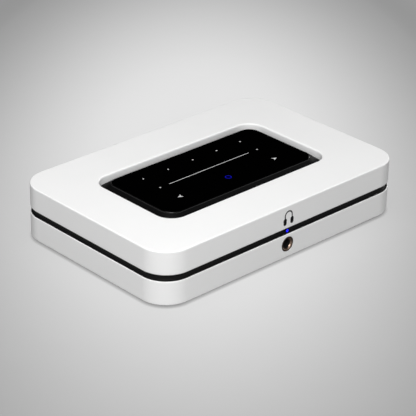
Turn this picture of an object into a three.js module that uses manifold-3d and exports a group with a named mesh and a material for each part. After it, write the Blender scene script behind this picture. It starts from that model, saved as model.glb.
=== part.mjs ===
// Desktop wireless audio receiver: two white shells round a black groove, a recessed touch panel on top,
// a headphone socket in front and a connector bay behind.
// Millimetres, +Z up, front towards -Y, origin at the centre of the footprint under the rubber feet.
import * as THREE from 'three';
import Module from 'manifold-3d';

const wasm = await Module();
wasm.setup();

// ---------- driving dimensions ----------
const GAP = 0.3; // clearance between neighbours that touch
const OVER = 1; // how far a cutter runs past the face that it opens
const ROOT = 0.5; // how deep an added piece roots in the piece that it grows from
const SIDES = { fine: 24, middle: 18, coarse: 12 };

const BODY = { w: 220, d: 146, r: 20 };
const EDGE = { base: 1.0, groove: 0.5, top: 0.7 };
const WALL = 2.5;
const FOOT_GAP = 1.5;
const LOWER_TOP = 19.0;
const UPPER_BOTTOM = 23.0;
const TOP = 40.1;
const FLOOR_TOP = FOOT_GAP + WALL;
const ROOF_UNDER = TOP - WALL;
const HALF_D = BODY.d / 2;
const FRONT_INNER = -HALF_D + WALL;
const INNER = { w: BODY.w - 2 * WALL, d: BODY.d - 2 * WALL, r: BODY.r - WALL };

const atCorners = (x, y) => [[-x, -y], [x, -y], [-x, y], [x, y]];
const LOCATING = { shoulder: 3.0, pin: 1.3, hole: 1.6, proud: 0.8 };

// Touch panel in its recess. The slope of the surround runs from the foot of the recess wall to the glass.
const PANEL_Y = 0.3;
const OPENING = { w: 148, d: 78.2, r: 12.5 };
const RECESS_FOOT = TOP - 5.7;
const SKIRT_T = 2.0;
const GLASS = { w: 133.7, d: 63.9, r: 8, top: TOP - 0.4, t: 1.8, under: 0.2, edge: 0.4 };
const SURROUND = { below: 0.3, ledge: 2.8, ledgeR: 5, flange: 0.5 };
const SENSOR = { w: 127.4, d: 57.6, r: 4, z0: 36.5, z1: 37.5 };
const BACKPLATE = { w: 168, d: 84, r: 4, z0: 31.0, z1: 32.2, slotHalf: 3 };
const BACKPLATE_PINS = atCorners(80.5, 30);
const RIBBON = { x0: 40, x1: 52, t: 0.4, room: 1 };

// Groove between the shells: a black band with a tongue up and down behind the shell walls, and a lip that
// covers the lower shell's ledge.
const BAND = {
  inset: 2, width: 4, tongue: 1.5, reach: 2.0, z0: LOWER_TOP + GAP, z1: UPPER_BOTTOM - GAP,
  lipInset: 0.6, lipT: 0.4, rearX: 90, rearY: HALF_D - 12,
};

const FEET = atCorners(84, 50);
const FOOT = { r: 8, top: 1.9, edge: 0.6 };
const BOSSES = atCorners(98.5, 48);
const BOSS = { r: 4, split: 21 };
const SCREW = {
  r: 1.4, headR: 3.0, headT: 1.6, headZ: 2.1, tip: 31, slotLong: 1.8, slotHalf: 0.35, slotDeep: 0.7,
};
const VENT = { x0: 20, pitch: 7, count: 6, half: 1.2, y0: -8, y1: 34 };

// Circuit boards lie on one level; what stands on them starts at PART_Z0.
const BOARD = { z0: 9.7, z1: 11.3 };
const PART_Z0 = BOARD.z1 + GAP;
const MAIN = { x0: -59, x1: 93, y0: -20, y1: 61.4 };
const POWER = { x0: -104, x1: -63, y0: -40, y1: 38 };
const MAIN_PINS = [[-54, -15], [88, -15], [88, 42], [-54, 40]];
const POWER_PINS = [[-100, -35], [-67, -35], [-100, 33], [-67, 24]];
const TRAY = {
  x0: -104.5, x1: 96, y0: -42, y1: 61, z0: FLOOR_TOP + GAP, t: 1.2, root: 0.4, jackHalf: 9, ventRoom: 3,
};

const JACK = {
  z: 11.35, bore: 3.25, ringR: 5.3, ringFace: -HALF_D + 0.2, sink: 1.0, halfW: 7.5, halfH: 6.5, back: -36,
};
const JACK_SLOT = { x0: 2, y0: -52, y1: -40.5, half: 1.1 };
const FRONT_BOARD = { x0: -20, x1: 20, y0: -66.3, y1: -40, z0: 18.4, z1: 20.0 };
const LED = { half: 1.6, y0: -66, y1: -63.6, h: 2.0 };
const LIGHT = { z: 21, r: 1.25, front: -HALF_D + 0.4 };

// Rear bay: its floor is at BAY_FACE. The sockets' bodies end just behind it and their noses pass through.
const WINDOW = { x: 88, z0: 6.0, z1: 33.0 };
const BAY_FACE = 64;
const BAY_BACK = BAY_FACE - 2;
const BAY = { rim: 1.5, rimBack: 1.4, flangeT: 2, flangeX: 1.8, flangeZ: 1.7 };
const SOCKET_FRONT = BAY_BACK - GAP;
const NOSE_FRONT = 64.8;

const INLET = {
  x: -76, z: 17.5, pitch: 4.3, halfW: 10, halfH: 6.6, back: 46, noseX: 8.5, noseZ: 5.4, proud: 0.4,
  mouthW: 14.8, mouthH: 7.8, mouthBack: 53, pinR: 1.2, pinBack: 42, pinTip: 63.2, taper: 0.8, leadR: 1.1,
};
const RCA_X = { left: 80, right: 66.5, sub: 53, coax: 39.5 };
const RCA = { z: 18.3, r: 4.2, tip: 71.8, back: 59.8, rimR: 3.4, bore: 1.6, sunk: 0.8 };
const RCA_BLOCK = { back: 50, up: 6.5, side: 6.4 };
const OPTICAL = {
  x: 25.5, z: 17.6, half: 7, h: 12, back: 48, nose: 5.3, mouth: 4.2, mouthBack: 51,
  pivotY: 63.6, pivotZ: 21.1, pivotR: 0.45, flapHalf: 0.4,
};
const SHELL_SOCKETS = {
  hdmi_socket: { x: 10, w: 15.2, h: 6.0, back: 50, wall: 0.6, bladeHalf: 5.5, bladeZ: [2.5, 3.5] },
  usb_socket: { x: -7.5, w: 14.4, h: 7.0, back: 48, wall: 0.7, bladeHalf: 5.5, bladeZ: [3.9, 5.5] },
};
const BLADE = { behind: 3, sunk: 1.2, mouthBehind: 4 };
const LAN = {
  x: -24.5, halfW: 8, h: 13.4, back: 44, mouthHalf: 5.9, mouthZ: [3.8, 11.2], mouthBack: 50,
  latchHalf: 3.1, latchZ: [1.2, 4], latchBack: 53,
};
const ROUND_SOCKET_X = { line_in_socket: -38, ir_in_socket: -48 };
const ROUND_SOCKET = { half: 4.5, h: 9, back: 48, nose: 3.8, bore: 1.85, boreBack: 50 };
const BUTTON = { x: -57.5, z: 16, r: 2.2, edge: 0.3, seat: 57.6, stemR: 1.2, collarR: 3.2, collarT: 0.8 };
const SWITCH = { left: 0.8, right: 4.2, y0: 51, y1: 56.5, up: 2.5 };

const CPU = { x: -8, y: 16, half: 8, z1: PART_Z0 + 1.2 };
const HEATSINK = { half: 18, z0: CPU.z1 + GAP, baseT: 3, h: 14, fins: 8, finHalf: 0.75 };
const WIRELESS = { x0: 58, x1: 82, y0: 12, y1: 30, z0: PART_Z0, z1: PART_Z0 + 2.6 };
const ANTENNA = { x0: 106.3, x1: 107.2, y0: -18, y1: 14, z0: 27, z1: 35.5 };
const BOBBIN = { x0: -95, x1: -73, y0: -16, y1: 4, z0: PART_Z0, z1: PART_Z0 + 15 };
const CORE = { x0: -98, x1: -70, y0: -11, y1: -1, z0: PART_Z0 + 2, z1: PART_Z0 + 17.5 };
const CAPACITOR = { x: -92, y: 15, r: 6.5, h: 18, groove: 0.4, grooveZ: 2.5, grooveHalf: 0.5, edge: 0.5 };
const CHOKE = { x: -74, y: 15, z: PART_Z0 + 8.2, R: 5.2, r: 2.8 };
const FUSE = { y: 26.5, z: PART_Z0 + 2.6, r: 2.5, x0: -96, x1: -76 };
const BARRIER = { x0: -61.4, x1: -60.4, y0: -44, y1: 45, z0: FLOOR_TOP + 1.8, z1: 26 };
const BARRIER_NOTCH = { y0: -36, y1: -28, z0: 17 };

// Routes of flat strips as [y, z] or [x, y] points, and of wires as [x, y, z] points.
const SENSOR_RUN = [
  [11, SENSOR.z0 - 0.5], [3, SENSOR.z0 - 0.5], [0.8, 34.6], [0, 33], [0, 27], [-3, 23],
  [-8, 20], [-10, 17], [-10, 13.6], [-11, 12.3], [-14, PART_Z0 + 0.2],
];
const FRONT_RUN = [
  [-47, 20.5], [-40, 20.5], [-36, 19.6], [-31, 15], [-27, 12.4], [-23, 12], [-14, PART_Z0 + 0.2],
];
const SPRING_RUN = [[6.6, -51], [6.6, -46], [4.3, -43.6], [5.4, -41.2]];
const ANTENNA_RUN = [
  [78, 21, PART_Z0 + 2.9], [78, 20, 18], [84, 10, 21], [93, 0, 24], [99, -2, 29], [102, -2, 31],
  [105.9, -2, 31.2],
];
const DC_RUN = [
  [-72, -30, PART_Z0], [-72, -30, 15], [-68, -31, 19.5], [-61, -32, 21], [-54, -28, 19.5],
  [-50, -20, 17.5], [-49, -13, 15.2], [-49, -12, 13.2], [-49, -12, PART_Z0],
];

// ---------- geometry helpers ----------
const CORNER_STEPS = 6;

function outline(w, d, r, steps = CORNER_STEPS) {
  const points = [];
  const corners = [[1, 1, 0], [-1, 1, 1], [-1, -1, 2], [1, -1, 3]];
  for (const [sx, sy, quarter] of corners) {
    for (let i = 0; i <= steps; i++) {
      const a = (quarter + i / steps) * Math.PI / 2;
      points.push([sx * (w / 2 - r) + r * Math.cos(a), sy * (d / 2 - r) + r * Math.sin(a)]);
    }
  }
  return points;
}

function meshFrom(positions, indices) {
  const g = new THREE.BufferGeometry();
  g.setAttribute('position', new THREE.Float32BufferAttribute(positions, 3));
  g.setIndex(indices);
  return g;
}

// A solid skinned through a stack of rounded rectangles, capped at both ends.
function stack(levels, cy = 0, steps = CORNER_STEPS) {
  const positions = [];
  const indices = [];
  const n = 4 * (steps + 1);
  for (const [w, d, r, z] of levels) {
    for (const [x, y] of outline(w, d, r, steps)) positions.push(x, y + cy, z);
  }
  for (let k = 0; k + 1 < levels.length; k++) {
    for (let i = 0; i < n; i++) {
      const a = k * n + i;
      const b = k * n + (i + 1) % n;
      indices.push(a, b, b + n, a, b + n, a + n);
    }
  }
  const last = (levels.length - 1) * n;
  for (let i = 1; i + 1 < n; i++) {
    indices.push(0, i + 1, i);
    indices.push(last, last + i, last + i + 1);
  }
  return meshFrom(positions, indices);
}

// A closed ring whose section is a polygon of [w, d, r, z] stations, run round a rounded rectangle.
function ring(stations, cy = 0, steps = CORNER_STEPS) {
  const positions = [];
  const indices = [];
  const n = 4 * (steps + 1);
  const m = stations.length;
  for (const [w, d, r, z] of stations) {
    for (const [x, y] of outline(w, d, r, steps)) positions.push(x, y + cy, z);
  }
  for (let k = 0; k < m; k++) {
    const next = ((k + 1) % m) * n;
    for (let i = 0; i < n; i++) {
      const j = (i + 1) % n;
      indices.push(k * n + i, k * n + j, next + j, k * n + i, next + j, next + i);
    }
  }
  return meshFrom(positions, indices);
}

function slab(w, d, r, z0, z1, cy = 0) {
  return stack([[w, d, r, z0], [w, d, r, z1]], cy);
}

function chamferedSlab({ w, d, r }, z0, z1, low, high, cy = 0) {
  return stack([
    [w - 2 * low, d - 2 * low, r - low, z0],
    [w, d, r, z0 + low],
    [w, d, r, z1 - high],
    [w - 2 * high, d - 2 * high, r - high, z1],
  ], cy);
}

function box(x0, x1, y0, y1, z0, z1) {
  const g = new THREE.BoxGeometry(x1 - x0, y1 - y0, z1 - z0);
  g.translate((x0 + x1) / 2, (y0 + y1) / 2, (z0 + z1) / 2);
  return g;
}

function boxOf({ x0, x1, y0, y1, z0, z1 }) {
  return box(x0, x1, y0, y1, z0, z1);
}

function post(x, y, r, z0, z1, segments = SIDES.coarse) {
  const g = new THREE.CylinderGeometry(r, r, z1 - z0, segments);
  g.rotateX(Math.PI / 2);
  g.translate(x, y, (z0 + z1) / 2);
  return g;
}

function rodY(x, z, r, y0, y1, segments = SIDES.fine) {
  const g = new THREE.CylinderGeometry(r, r, y1 - y0, segments);
  g.translate(x, (y0 + y1) / 2, z);
  return g;
}

function rodX(y, z, r, x0, x1, segments = SIDES.coarse) {
  const g = new THREE.CylinderGeometry(r, r, x1 - x0, segments);
  g.rotateZ(Math.PI / 2);
  g.translate((x0 + x1) / 2, y, z);
  return g;
}

// Turned shape: [radius, height] stations from the axis round to the axis, or closed on itself.
function turned(stations, segments) {
  return new THREE.LatheGeometry(stations.map(([r, h]) => new THREE.Vector2(r, h)), segments);
}

function turnedY(stations, x, z, segments = SIDES.fine) {
  const g = turned(stations, segments);
  g.translate(x, 0, z);
  return g;
}

function turnedZ(stations, x, y, segments = SIDES.fine) {
  const g = turned(stations, segments);
  g.rotateX(Math.PI / 2);
  g.translate(x, y, 0);
  return g;
}

function stadiumY(x, z, w, h, y0, y1) {
  const g = stack([[w, h, h / 2 - 0.01, 0], [w, h, h / 2 - 0.01, y1 - y0]], 0, 5);
  g.rotateX(Math.PI / 2);
  g.translate(x, y1, z);
  return g;
}

function wire(points, radius, steps, segments = 4) {
  const profile = new THREE.Shape();
  profile.absarc(0, 0, radius, 0, Math.PI * 2);
  const path = new THREE.CatmullRomCurve3(points.map((p) => new THREE.Vector3(...p)), false, 'centripetal');
  const options = { steps, extrudePath: path, curveSegments: segments, bevelEnabled: false };
  return new THREE.ExtrudeGeometry(profile, options);
}

// A flat strip that follows a path of [u, v] points, given thickness, extruded along the third direction.
function stripShape(points, thickness) {
  const left = [];
  const right = [];
  points.forEach((p, i) => {
    const a = points[Math.max(i - 1, 0)];
    const b = points[Math.min(i + 1, points.length - 1)];
    const length = Math.hypot(b[0] - a[0], b[1] - a[1]);
    const nx = -(b[1] - a[1]) / length * thickness / 2;
    const ny = (b[0] - a[0]) / length * thickness / 2;
    left.push(new THREE.Vector2(p[0] + nx, p[1] + ny));
    right.unshift(new THREE.Vector2(p[0] - nx, p[1] - ny));
  });
  return new THREE.Shape([...left, ...right]);
}

function strip(points, thickness, depth) {
  return new THREE.ExtrudeGeometry(stripShape(points, thickness), { depth, bevelEnabled: false });
}

function stripYZ(points, thickness, x0, x1) {
  const g = strip(points, thickness, x1 - x0);
  g.rotateY(Math.PI / 2);
  g.rotateX(Math.PI / 2);
  g.translate(x0, 0, 0);
  return g;
}

function stripXY(points, thickness, z0, z1) {
  const g = strip(points, thickness, z1 - z0);
  g.translate(0, 0, z0);
  return g;
}

function toSolid(geometry) {
  return new wasm.Manifold(new wasm.Mesh({ numProp: 3, ...mergeByPosition(geometry) }));
}

function mergeByPosition(g) {
  const pos = g.getAttribute('position');
  const index = g.getIndex();
  const seen = new Map();
  const vertices = [];
  const remap = new Array(pos.count);
  for (let i = 0; i < pos.count; i++) {
    const p = [pos.getX(i), pos.getY(i), pos.getZ(i)];
    const key = p.map((v) => Math.round(v * 1e4)).join(',');
    if (!seen.has(key)) {
      seen.set(key, vertices.length / 3);
      vertices.push(...p);
    }
    remap[i] = seen.get(key);
  }
  const triangles = [];
  const count = index ? index.count : pos.count;
  for (let t = 0; t < count; t += 3) {
    const corner = [0, 1, 2].map((k) => remap[index ? index.getX(t + k) : t + k]);
    const flat = corner[0] === corner[1] || corner[1] === corner[2] || corner[0] === corner[2];
    if (!flat) triangles.push(...corner);
  }
  return { vertProperties: new Float32Array(vertices), triVerts: new Uint32Array(triangles) };
}

function fromSolid(solid) {
  const m = solid.getMesh();
  return meshFrom(Array.from(m.vertProperties), Array.from(m.triVerts));
}

function combine(base, added = [], removed = []) {
  let solid = toSolid(base);
  for (const g of added) solid = solid.add(toSolid(g));
  for (const g of removed) solid = solid.subtract(toSolid(g));
  return fromSolid(solid);
}

// ---------- materials ----------
const FINISH = {
  white: [0xf2f2f0, 0.5, 0.0],
  black: [0x141416, 0.55, 0.0],
  matteBlack: [0x0c0c0d, 0.75, 0.0],
  glass: [0x050506, 0.08, 0.0],
  board: [0x1c4a2c, 0.6, 0.0],
  chip: [0x1a1a1c, 0.5, 0.0],
  steel: [0xb9bcc0, 0.35, 1.0],
  aluminium: [0xa9adb2, 0.45, 1.0],
  brass: [0xb9935a, 0.35, 1.0],
  bronze: [0x6e4a2f, 0.35, 1.0],
  rubber: [0x1b1b1b, 0.9, 0.0],
  ferrite: [0x35322f, 0.8, 0.0],
  sleeve: [0x20304f, 0.5, 0.0],
  flex: [0xa8701f, 0.5, 0.0],
  blueWire: [0x24508f, 0.6, 0.0],
  brownWire: [0x6a3a1e, 0.6, 0.0],
  greyWire: [0x555659, 0.6, 0.0],
  clear: [0x2a3cff, 0.2, 0.0],
  film: [0xd8d6c8, 0.6, 0.0],
  fuseGlass: [0xcfd6d6, 0.15, 0.0],
};

const assembly = new THREE.Group();
assembly.name = 'audio_receiver';

function place(name, geometry, finish) {
  const [color, roughness, metalness] = FINISH[finish];
  const plain = meshFromWelded(geometry);
  const mesh = new THREE.Mesh(plain, new THREE.MeshStandardMaterial({ color, roughness, metalness }));
  mesh.name = name;
  assembly.add(mesh);
}

function meshFromWelded(geometry) {
  const { vertProperties, triVerts } = mergeByPosition(geometry);
  const out = meshFrom(Array.from(vertProperties), Array.from(triVerts));
  out.computeVertexNormals();
  return out;
}

// ---------- shells ----------
function ventSlots(z1) {
  const slots = [];
  for (const side of [-1, 1]) {
    for (let i = 0; i < VENT.count; i++) {
      const x = side * (VENT.x0 + i * VENT.pitch);
      slots.push(box(x - VENT.half, x + VENT.half, VENT.y0, VENT.y1, 0, z1));
    }
  }
  return slots;
}

function rearWindow(z0, z1) {
  return box(-WINDOW.x, WINDOW.x, HALF_D - WALL - OVER, HALF_D + OVER, z0, z1);
}

function lowerShell() {
  const added = [];
  const removed = [...ventSlots(FLOOR_TOP + OVER), rearWindow(WINDOW.z0, LOWER_TOP + OVER)];
  for (const [x, y] of BOSSES) {
    added.push(post(x, y, BOSS.r, FLOOR_TOP - ROOT, BOSS.split - GAP / 2));
    removed.push(post(x, y, SCREW.r + GAP, 0, BOSS.split + OVER));
    removed.push(post(x, y, SCREW.headR + GAP, 0, FLOOR_TOP));
  }
  for (const [x, y] of FEET) removed.push(post(x, y, FOOT.r + GAP, 0, FOOT.top + GAP, SIDES.middle));
  removed.push(rodY(0, JACK.z, JACK.ringR + GAP, -HALF_D - OVER, FRONT_INNER + OVER));
  const hollow = slab(INNER.w, INNER.d, INNER.r, FLOOR_TOP, LOWER_TOP + OVER);
  const cup = combine(chamferedSlab(BODY, FOOT_GAP, LOWER_TOP, EDGE.base, EDGE.groove), [], [hollow]);
  return combine(cup, added, removed);
}

function upperShell() {
  const { w, d, r } = OPENING;
  const skirtTop = ROOF_UNDER + ROOT;
  const added = [slab(w + 2 * SKIRT_T, d + 2 * SKIRT_T, r + SKIRT_T, RECESS_FOOT, skirtTop, PANEL_Y)];
  const removed = [slab(w, d, r, RECESS_FOOT - OVER, TOP + OVER, PANEL_Y)];
  removed.push(rearWindow(UPPER_BOTTOM - OVER, WINDOW.z1));
  for (const [x, y] of BOSSES) {
    added.push(post(x, y, BOSS.r, BOSS.split + GAP / 2, ROOF_UNDER + ROOT));
    removed.push(post(x, y, SCREW.r + GAP, BOSS.split - OVER, SCREW.tip + GAP));
  }
  for (const [x, y] of BACKPLATE_PINS) {
    added.push(post(x, y, LOCATING.shoulder, BACKPLATE.z1 + GAP, ROOF_UNDER + ROOT));
    added.push(post(x, y, LOCATING.pin, BACKPLATE.z0 - LOCATING.proud, BACKPLATE.z1 + OVER));
  }
  const hollow = slab(INNER.w, INNER.d, INNER.r, UPPER_BOTTOM - OVER, ROOF_UNDER);
  const cap = combine(chamferedSlab(BODY, UPPER_BOTTOM, TOP, EDGE.groove, EDGE.top), [], [hollow]);
  return combine(cap, added, removed);
}

function shadowBand() {
  const at = (inset, z) => [BODY.w - 2 * inset, BODY.d - 2 * inset, BODY.r - inset, z];
  const { inset, z0, z1, lipInset } = BAND;
  const lipTop = z0 + BAND.lipT;
  const tongueOut = WALL + GAP;
  const tongueIn = tongueOut + BAND.tongue;
  const inner = inset + BAND.width;
  const low = LOWER_TOP - BAND.reach;
  const high = UPPER_BOTTOM + BAND.reach;
  const section = ring([
    at(lipInset, z0), at(lipInset, lipTop), at(inset, lipTop), at(inset, z1), at(tongueOut, z1),
    at(tongueOut, high), at(tongueIn, high), at(tongueIn, z1), at(inner, z1), at(inner, z0),
    at(tongueIn, z0), at(tongueIn, low), at(tongueOut, low), at(tongueOut, z0),
  ]);
  const face = -HALF_D + inset;
  const back = face + BAND.width;
  const rearCut = box(-BAND.rearX, BAND.rearX, BAND.rearY, HALF_D + OVER, 0, TOP);
  const notchX = TRAY.jackHalf;
  const notchTop = JACK.z + JACK.halfH + 2 * GAP;
  const jackNotch = box(-notchX, notchX, face - OVER, back + OVER, low - OVER, notchTop);
  const lightHole = rodY(0, LIGHT.z, LIGHT.r + GAP, -HALF_D, back + OVER, SIDES.middle);
  return combine(section, [], [rearCut, jackNotch, lightHole]);
}

place('lower_shell', lowerShell(), 'white');
place('upper_shell', upperShell(), 'white');
place('shadow_band', shadowBand(), 'matteBlack');

for (const [i, [x, y]] of FEET.entries()) {
  const { r, top, edge } = FOOT;
  const profile = [[0, 0], [r - edge, 0], [r, edge], [r, top], [0, top]];
  place(`foot_${i + 1}`, turnedZ(profile, x, y, SIDES.middle), 'rubber');
}

function baseScrew(x, y) {
  const { r, headR, headT, headZ, tip, slotLong, slotHalf, slotDeep } = SCREW;
  const neck = headZ + headT;
  const profile = [[0, headZ], [headR, headZ], [headR, neck], [r, neck], [r, tip - r], [0, tip]];
  const cross = [[slotLong, slotHalf], [slotHalf, slotLong]];
  const slots = cross.map(([a, b]) => box(x - a, x + a, y - b, y + b, headZ - OVER, headZ + slotDeep));
  return combine(turnedZ(profile, x, y, SIDES.coarse), [], slots);
}

for (const [i, [x, y]] of BOSSES.entries()) place(`base_screw_${i + 1}`, baseScrew(x, y), 'steel');

// ---------- touch panel ----------
function surround() {
  const at = (inset, z, r) => [OPENING.w - 2 * inset, OPENING.d - 2 * inset, r, z];
  const slopeTop = GLASS.top - SURROUND.below;
  const glassInset = (OPENING.w - GLASS.w) / 2 - GAP;
  const ledge = GLASS.top - GLASS.t - GAP;
  const ledgeInset = glassInset + SURROUND.ledge;
  const under = BACKPLATE.z1 + GAP;
  const flange = -SKIRT_T - SURROUND.flange;
  return ring([
    at(GAP, RECESS_FOOT - GAP, OPENING.r - GAP), at(GAP, RECESS_FOOT, OPENING.r - GAP),
    at(glassInset, slopeTop, GLASS.r), at(glassInset, ledge, GLASS.r),
    at(ledgeInset, ledge, SURROUND.ledgeR), at(ledgeInset, under, SURROUND.ledgeR),
    at(flange, under, OPENING.r + SKIRT_T), at(flange, RECESS_FOOT - GAP, OPENING.r + SKIRT_T),
  ], PANEL_Y);
}

function backplate() {
  const { w, d, r, z0, z1, slotHalf } = BACKPLATE;
  const removed = BACKPLATE_PINS.map(([x, y]) => post(x, y, LOCATING.hole, 0, TOP));
  const { x0, x1, room } = RIBBON;
  removed.push(box(x0 - room, x1 + room, -slotHalf, slotHalf, z0 - OVER, z1 + OVER));
  return combine(slab(w, d, r, z0, z1), [], removed);
}

function touchGlass() {
  return chamferedSlab(GLASS, GLASS.top - GLASS.t, GLASS.top, GLASS.under, GLASS.edge, PANEL_Y);
}

place('panel_surround', surround(), 'black');
place('touch_glass', touchGlass(), 'glass');
place('touch_sensor_board', slab(SENSOR.w, SENSOR.d, SENSOR.r, SENSOR.z0, SENSOR.z1, PANEL_Y), 'board');
place('sensor_backplate', backplate(), 'steel');
place('sensor_ribbon', stripYZ(SENSOR_RUN, RIBBON.t, RIBBON.x0, RIBBON.x1), 'flex');

// ---------- front: headphone socket and status light ----------
function headphoneJack() {
  const { z, bore, halfW, halfH, back } = JACK;
  const body = box(-halfW, halfW, FRONT_INNER + GAP, back, z - halfH, z + halfH);
  const hole = rodY(0, z, bore, FRONT_INNER, back - 2 * OVER);
  const { x0, y0, y1, half } = JACK_SLOT;
  return combine(body, [], [hole, box(x0, halfW + OVER, y0, y1, z - half, z + half)]);
}

function jackRing() {
  const { z, bore, ringR, ringFace: face, sink } = JACK;
  const edge = 0.2;
  return turnedY([[bore + sink, face], [ringR - edge, face], [ringR, face + edge], [ringR, FRONT_INNER],
    [bore, FRONT_INNER], [bore, face + sink], [bore + sink, face]], 0, z);
}

const ledBase = FRONT_BOARD.z1 + GAP;
const pipeBack = FRONT_BOARD.y0 - GAP;
const springHalf = 0.8;
const frontRibbonHalf = 6;
place('headphone_jack', headphoneJack(), 'black');
place('jack_ring', jackRing(), 'bronze');
place('jack_tip_spring', stripXY(SPRING_RUN, RIBBON.t, JACK.z - springHalf, JACK.z + springHalf), 'brass');
place('front_board', boxOf(FRONT_BOARD), 'board');
place('status_light_pipe', rodY(0, LIGHT.z, LIGHT.r, LIGHT.front, pipeBack, SIDES.middle), 'clear');
place('status_led', box(-LED.half, LED.half, LED.y0, LED.y1, ledBase, ledBase + LED.h), 'film');
place('front_ribbon', stripYZ(FRONT_RUN, RIBBON.t, -frontRibbonHalf, frontRibbonHalf), 'flex');

// ---------- rear bay ----------
function rearPanel() {
  const x = WINDOW.x - GAP;
  const z0 = WINDOW.z0 + GAP;
  const z1 = WINDOW.z1 - GAP;
  const { rim, rimBack, flangeT, flangeX, flangeZ } = BAY;
  const flangeFront = HALF_D - WALL - GAP;
  const flangeBack = flangeFront - flangeT;
  const flange = box(-x - flangeX, x + flangeX, flangeBack, flangeFront, z0 - flangeZ, z1 + flangeZ);
  const bay = box(-x + rim, x - rim, BAY_FACE, HALF_D + OVER, z0 + rim, z1 - rim);
  const through = [BAY_BACK - OVER, BAY_FACE + OVER];
  const opening = (cx, half, low, high) => (
    box(cx - half - GAP, cx + half + GAP, ...through, low - GAP, high + GAP)
  );
  const holes = [bay, opening(INLET.x, INLET.noseX, INLET.z - INLET.noseZ, INLET.z + INLET.noseZ)];
  for (const cx of Object.values(RCA_X)) holes.push(rodY(cx, RCA.z, RCA.r + GAP, ...through));
  holes.push(opening(OPTICAL.x, OPTICAL.nose, OPTICAL.z - OPTICAL.nose, OPTICAL.z + OPTICAL.nose));
  for (const s of Object.values(SHELL_SOCKETS)) holes.push(opening(s.x, s.w / 2, PART_Z0, PART_Z0 + s.h));
  holes.push(opening(LAN.x, LAN.halfW, PART_Z0, PART_Z0 + LAN.h));
  for (const cx of Object.values(ROUND_SOCKET_X)) {
    holes.push(rodY(cx, PART_Z0 + ROUND_SOCKET.h / 2, ROUND_SOCKET.nose + GAP, ...through));
  }
  holes.push(rodY(BUTTON.x, BUTTON.z, BUTTON.r + GAP, ...through, SIDES.middle));
  return combine(box(-x, x, BAY_BACK, HALF_D - rimBack, z0, z1), [flange], holes);
}

place('rear_panel', rearPanel(), 'black');

function mainsInlet() {
  const { x, z, pitch, halfW, halfH, back, noseX, noseZ, proud, mouthW, mouthH, mouthBack, pinR } = INLET;
  const body = box(x - halfW, x + halfW, back, SOCKET_FRONT, z - halfH, z + halfH);
  const nose = box(x - noseX, x + noseX, SOCKET_FRONT - OVER, NOSE_FRONT + proud, z - noseZ, z + noseZ);
  const mouth = stadiumY(x, z, mouthW, mouthH, mouthBack, NOSE_FRONT + 2 * OVER);
  const boreR = pinR + GAP;
  const bore = (dx) => rodY(x + dx, z, boreR, back - OVER, mouthBack + OVER, SIDES.coarse);
  return combine(body, [nose], [mouth, bore(-pitch), bore(pitch)]);
}

function inletPin(x) {
  const { z, pinR, pinBack, pinTip, taper } = INLET;
  const tipR = 0.7;
  const profile = [[0, pinBack], [pinR, pinBack], [pinR, pinTip - taper], [tipR, pinTip], [0, pinTip]];
  return turnedY(profile, x, z, SIDES.coarse);
}

function mainsLead(x) {
  const { z, pinBack, leadR } = INLET;
  const run = [[x, pinBack - 0.4, z], [x, 38, z], [x, 34.2, 16], [x, 33, 13.6], [x, 33, PART_Z0]];
  return wire(run, leadR, 10);
}

place('mains_inlet', mainsInlet(), 'black');
for (const [pole, side, colour] of [['line', -1, 'brownWire'], ['neutral', 1, 'blueWire']]) {
  const x = INLET.x + side * INLET.pitch;
  place(`inlet_pin_${pole}`, inletPin(x), 'brass');
  place(`mains_lead_${pole}`, mainsLead(x), colour);
}

function rcaBlock(xs) {
  const { back, up, side } = RCA_BLOCK;
  const seats = xs.map((cx) => rodY(cx, RCA.z, RCA.r + GAP, RCA.back - GAP, SOCKET_FRONT + OVER));
  const [x0, x1] = [Math.min(...xs) - side, Math.max(...xs) + side];
  return combine(box(x0, x1, back, SOCKET_FRONT, PART_Z0, RCA.z + up), [], seats);
}

function rcaSocket(cx) {
  const { r, tip, back, rimR, bore, sunk, z } = RCA;
  const edge = 0.4;
  const insert = tip - sunk;
  const profile = [[0, back], [r, back], [r, tip - edge], [r - edge, tip], [rimR, tip], [rimR, insert],
    [bore, insert], [bore, BAY_BACK], [0, BAY_BACK]];
  return turnedY(profile, cx, z, SIDES.middle);
}

place('rca_block_analog', rcaBlock([RCA_X.left, RCA_X.right]), 'black');
place('rca_block_digital', rcaBlock([RCA_X.sub, RCA_X.coax]), 'black');
for (const [channel, cx] of Object.entries(RCA_X)) place(`rca_${channel}`, rcaSocket(cx), 'steel');

function opticalSocket() {
  const { x, z, half, h, back, nose, mouth, mouthBack, pivotY, pivotZ, pivotR } = OPTICAL;
  const body = box(x - half, x + half, back, SOCKET_FRONT, PART_Z0, PART_Z0 + h);
  const snout = box(x - nose, x + nose, SOCKET_FRONT - OVER, NOSE_FRONT, z - nose, z + nose);
  const hole = box(x - mouth, x + mouth, mouthBack, NOSE_FRONT + OVER, z - mouth, z + mouth);
  const seatR = pivotR + GAP;
  return combine(body, [snout], [hole, rodX(pivotY, pivotZ, seatR, x - mouth - seatR, x + mouth + seatR)]);
}

function opticalShutter() {
  const { x, z, mouth, pivotY, pivotZ, pivotR, flapHalf } = OPTICAL;
  const half = mouth - GAP;
  const low = z - half;
  const flap = box(x - half, x + half, pivotY - flapHalf, pivotY + flapHalf, low, pivotZ);
  return combine(flap, [rodX(pivotY, pivotZ, pivotR, x - mouth - pivotR, x + mouth + pivotR)]);
}

place('optical_socket', opticalSocket(), 'black');
place('optical_shutter', opticalShutter(), 'black');

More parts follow.
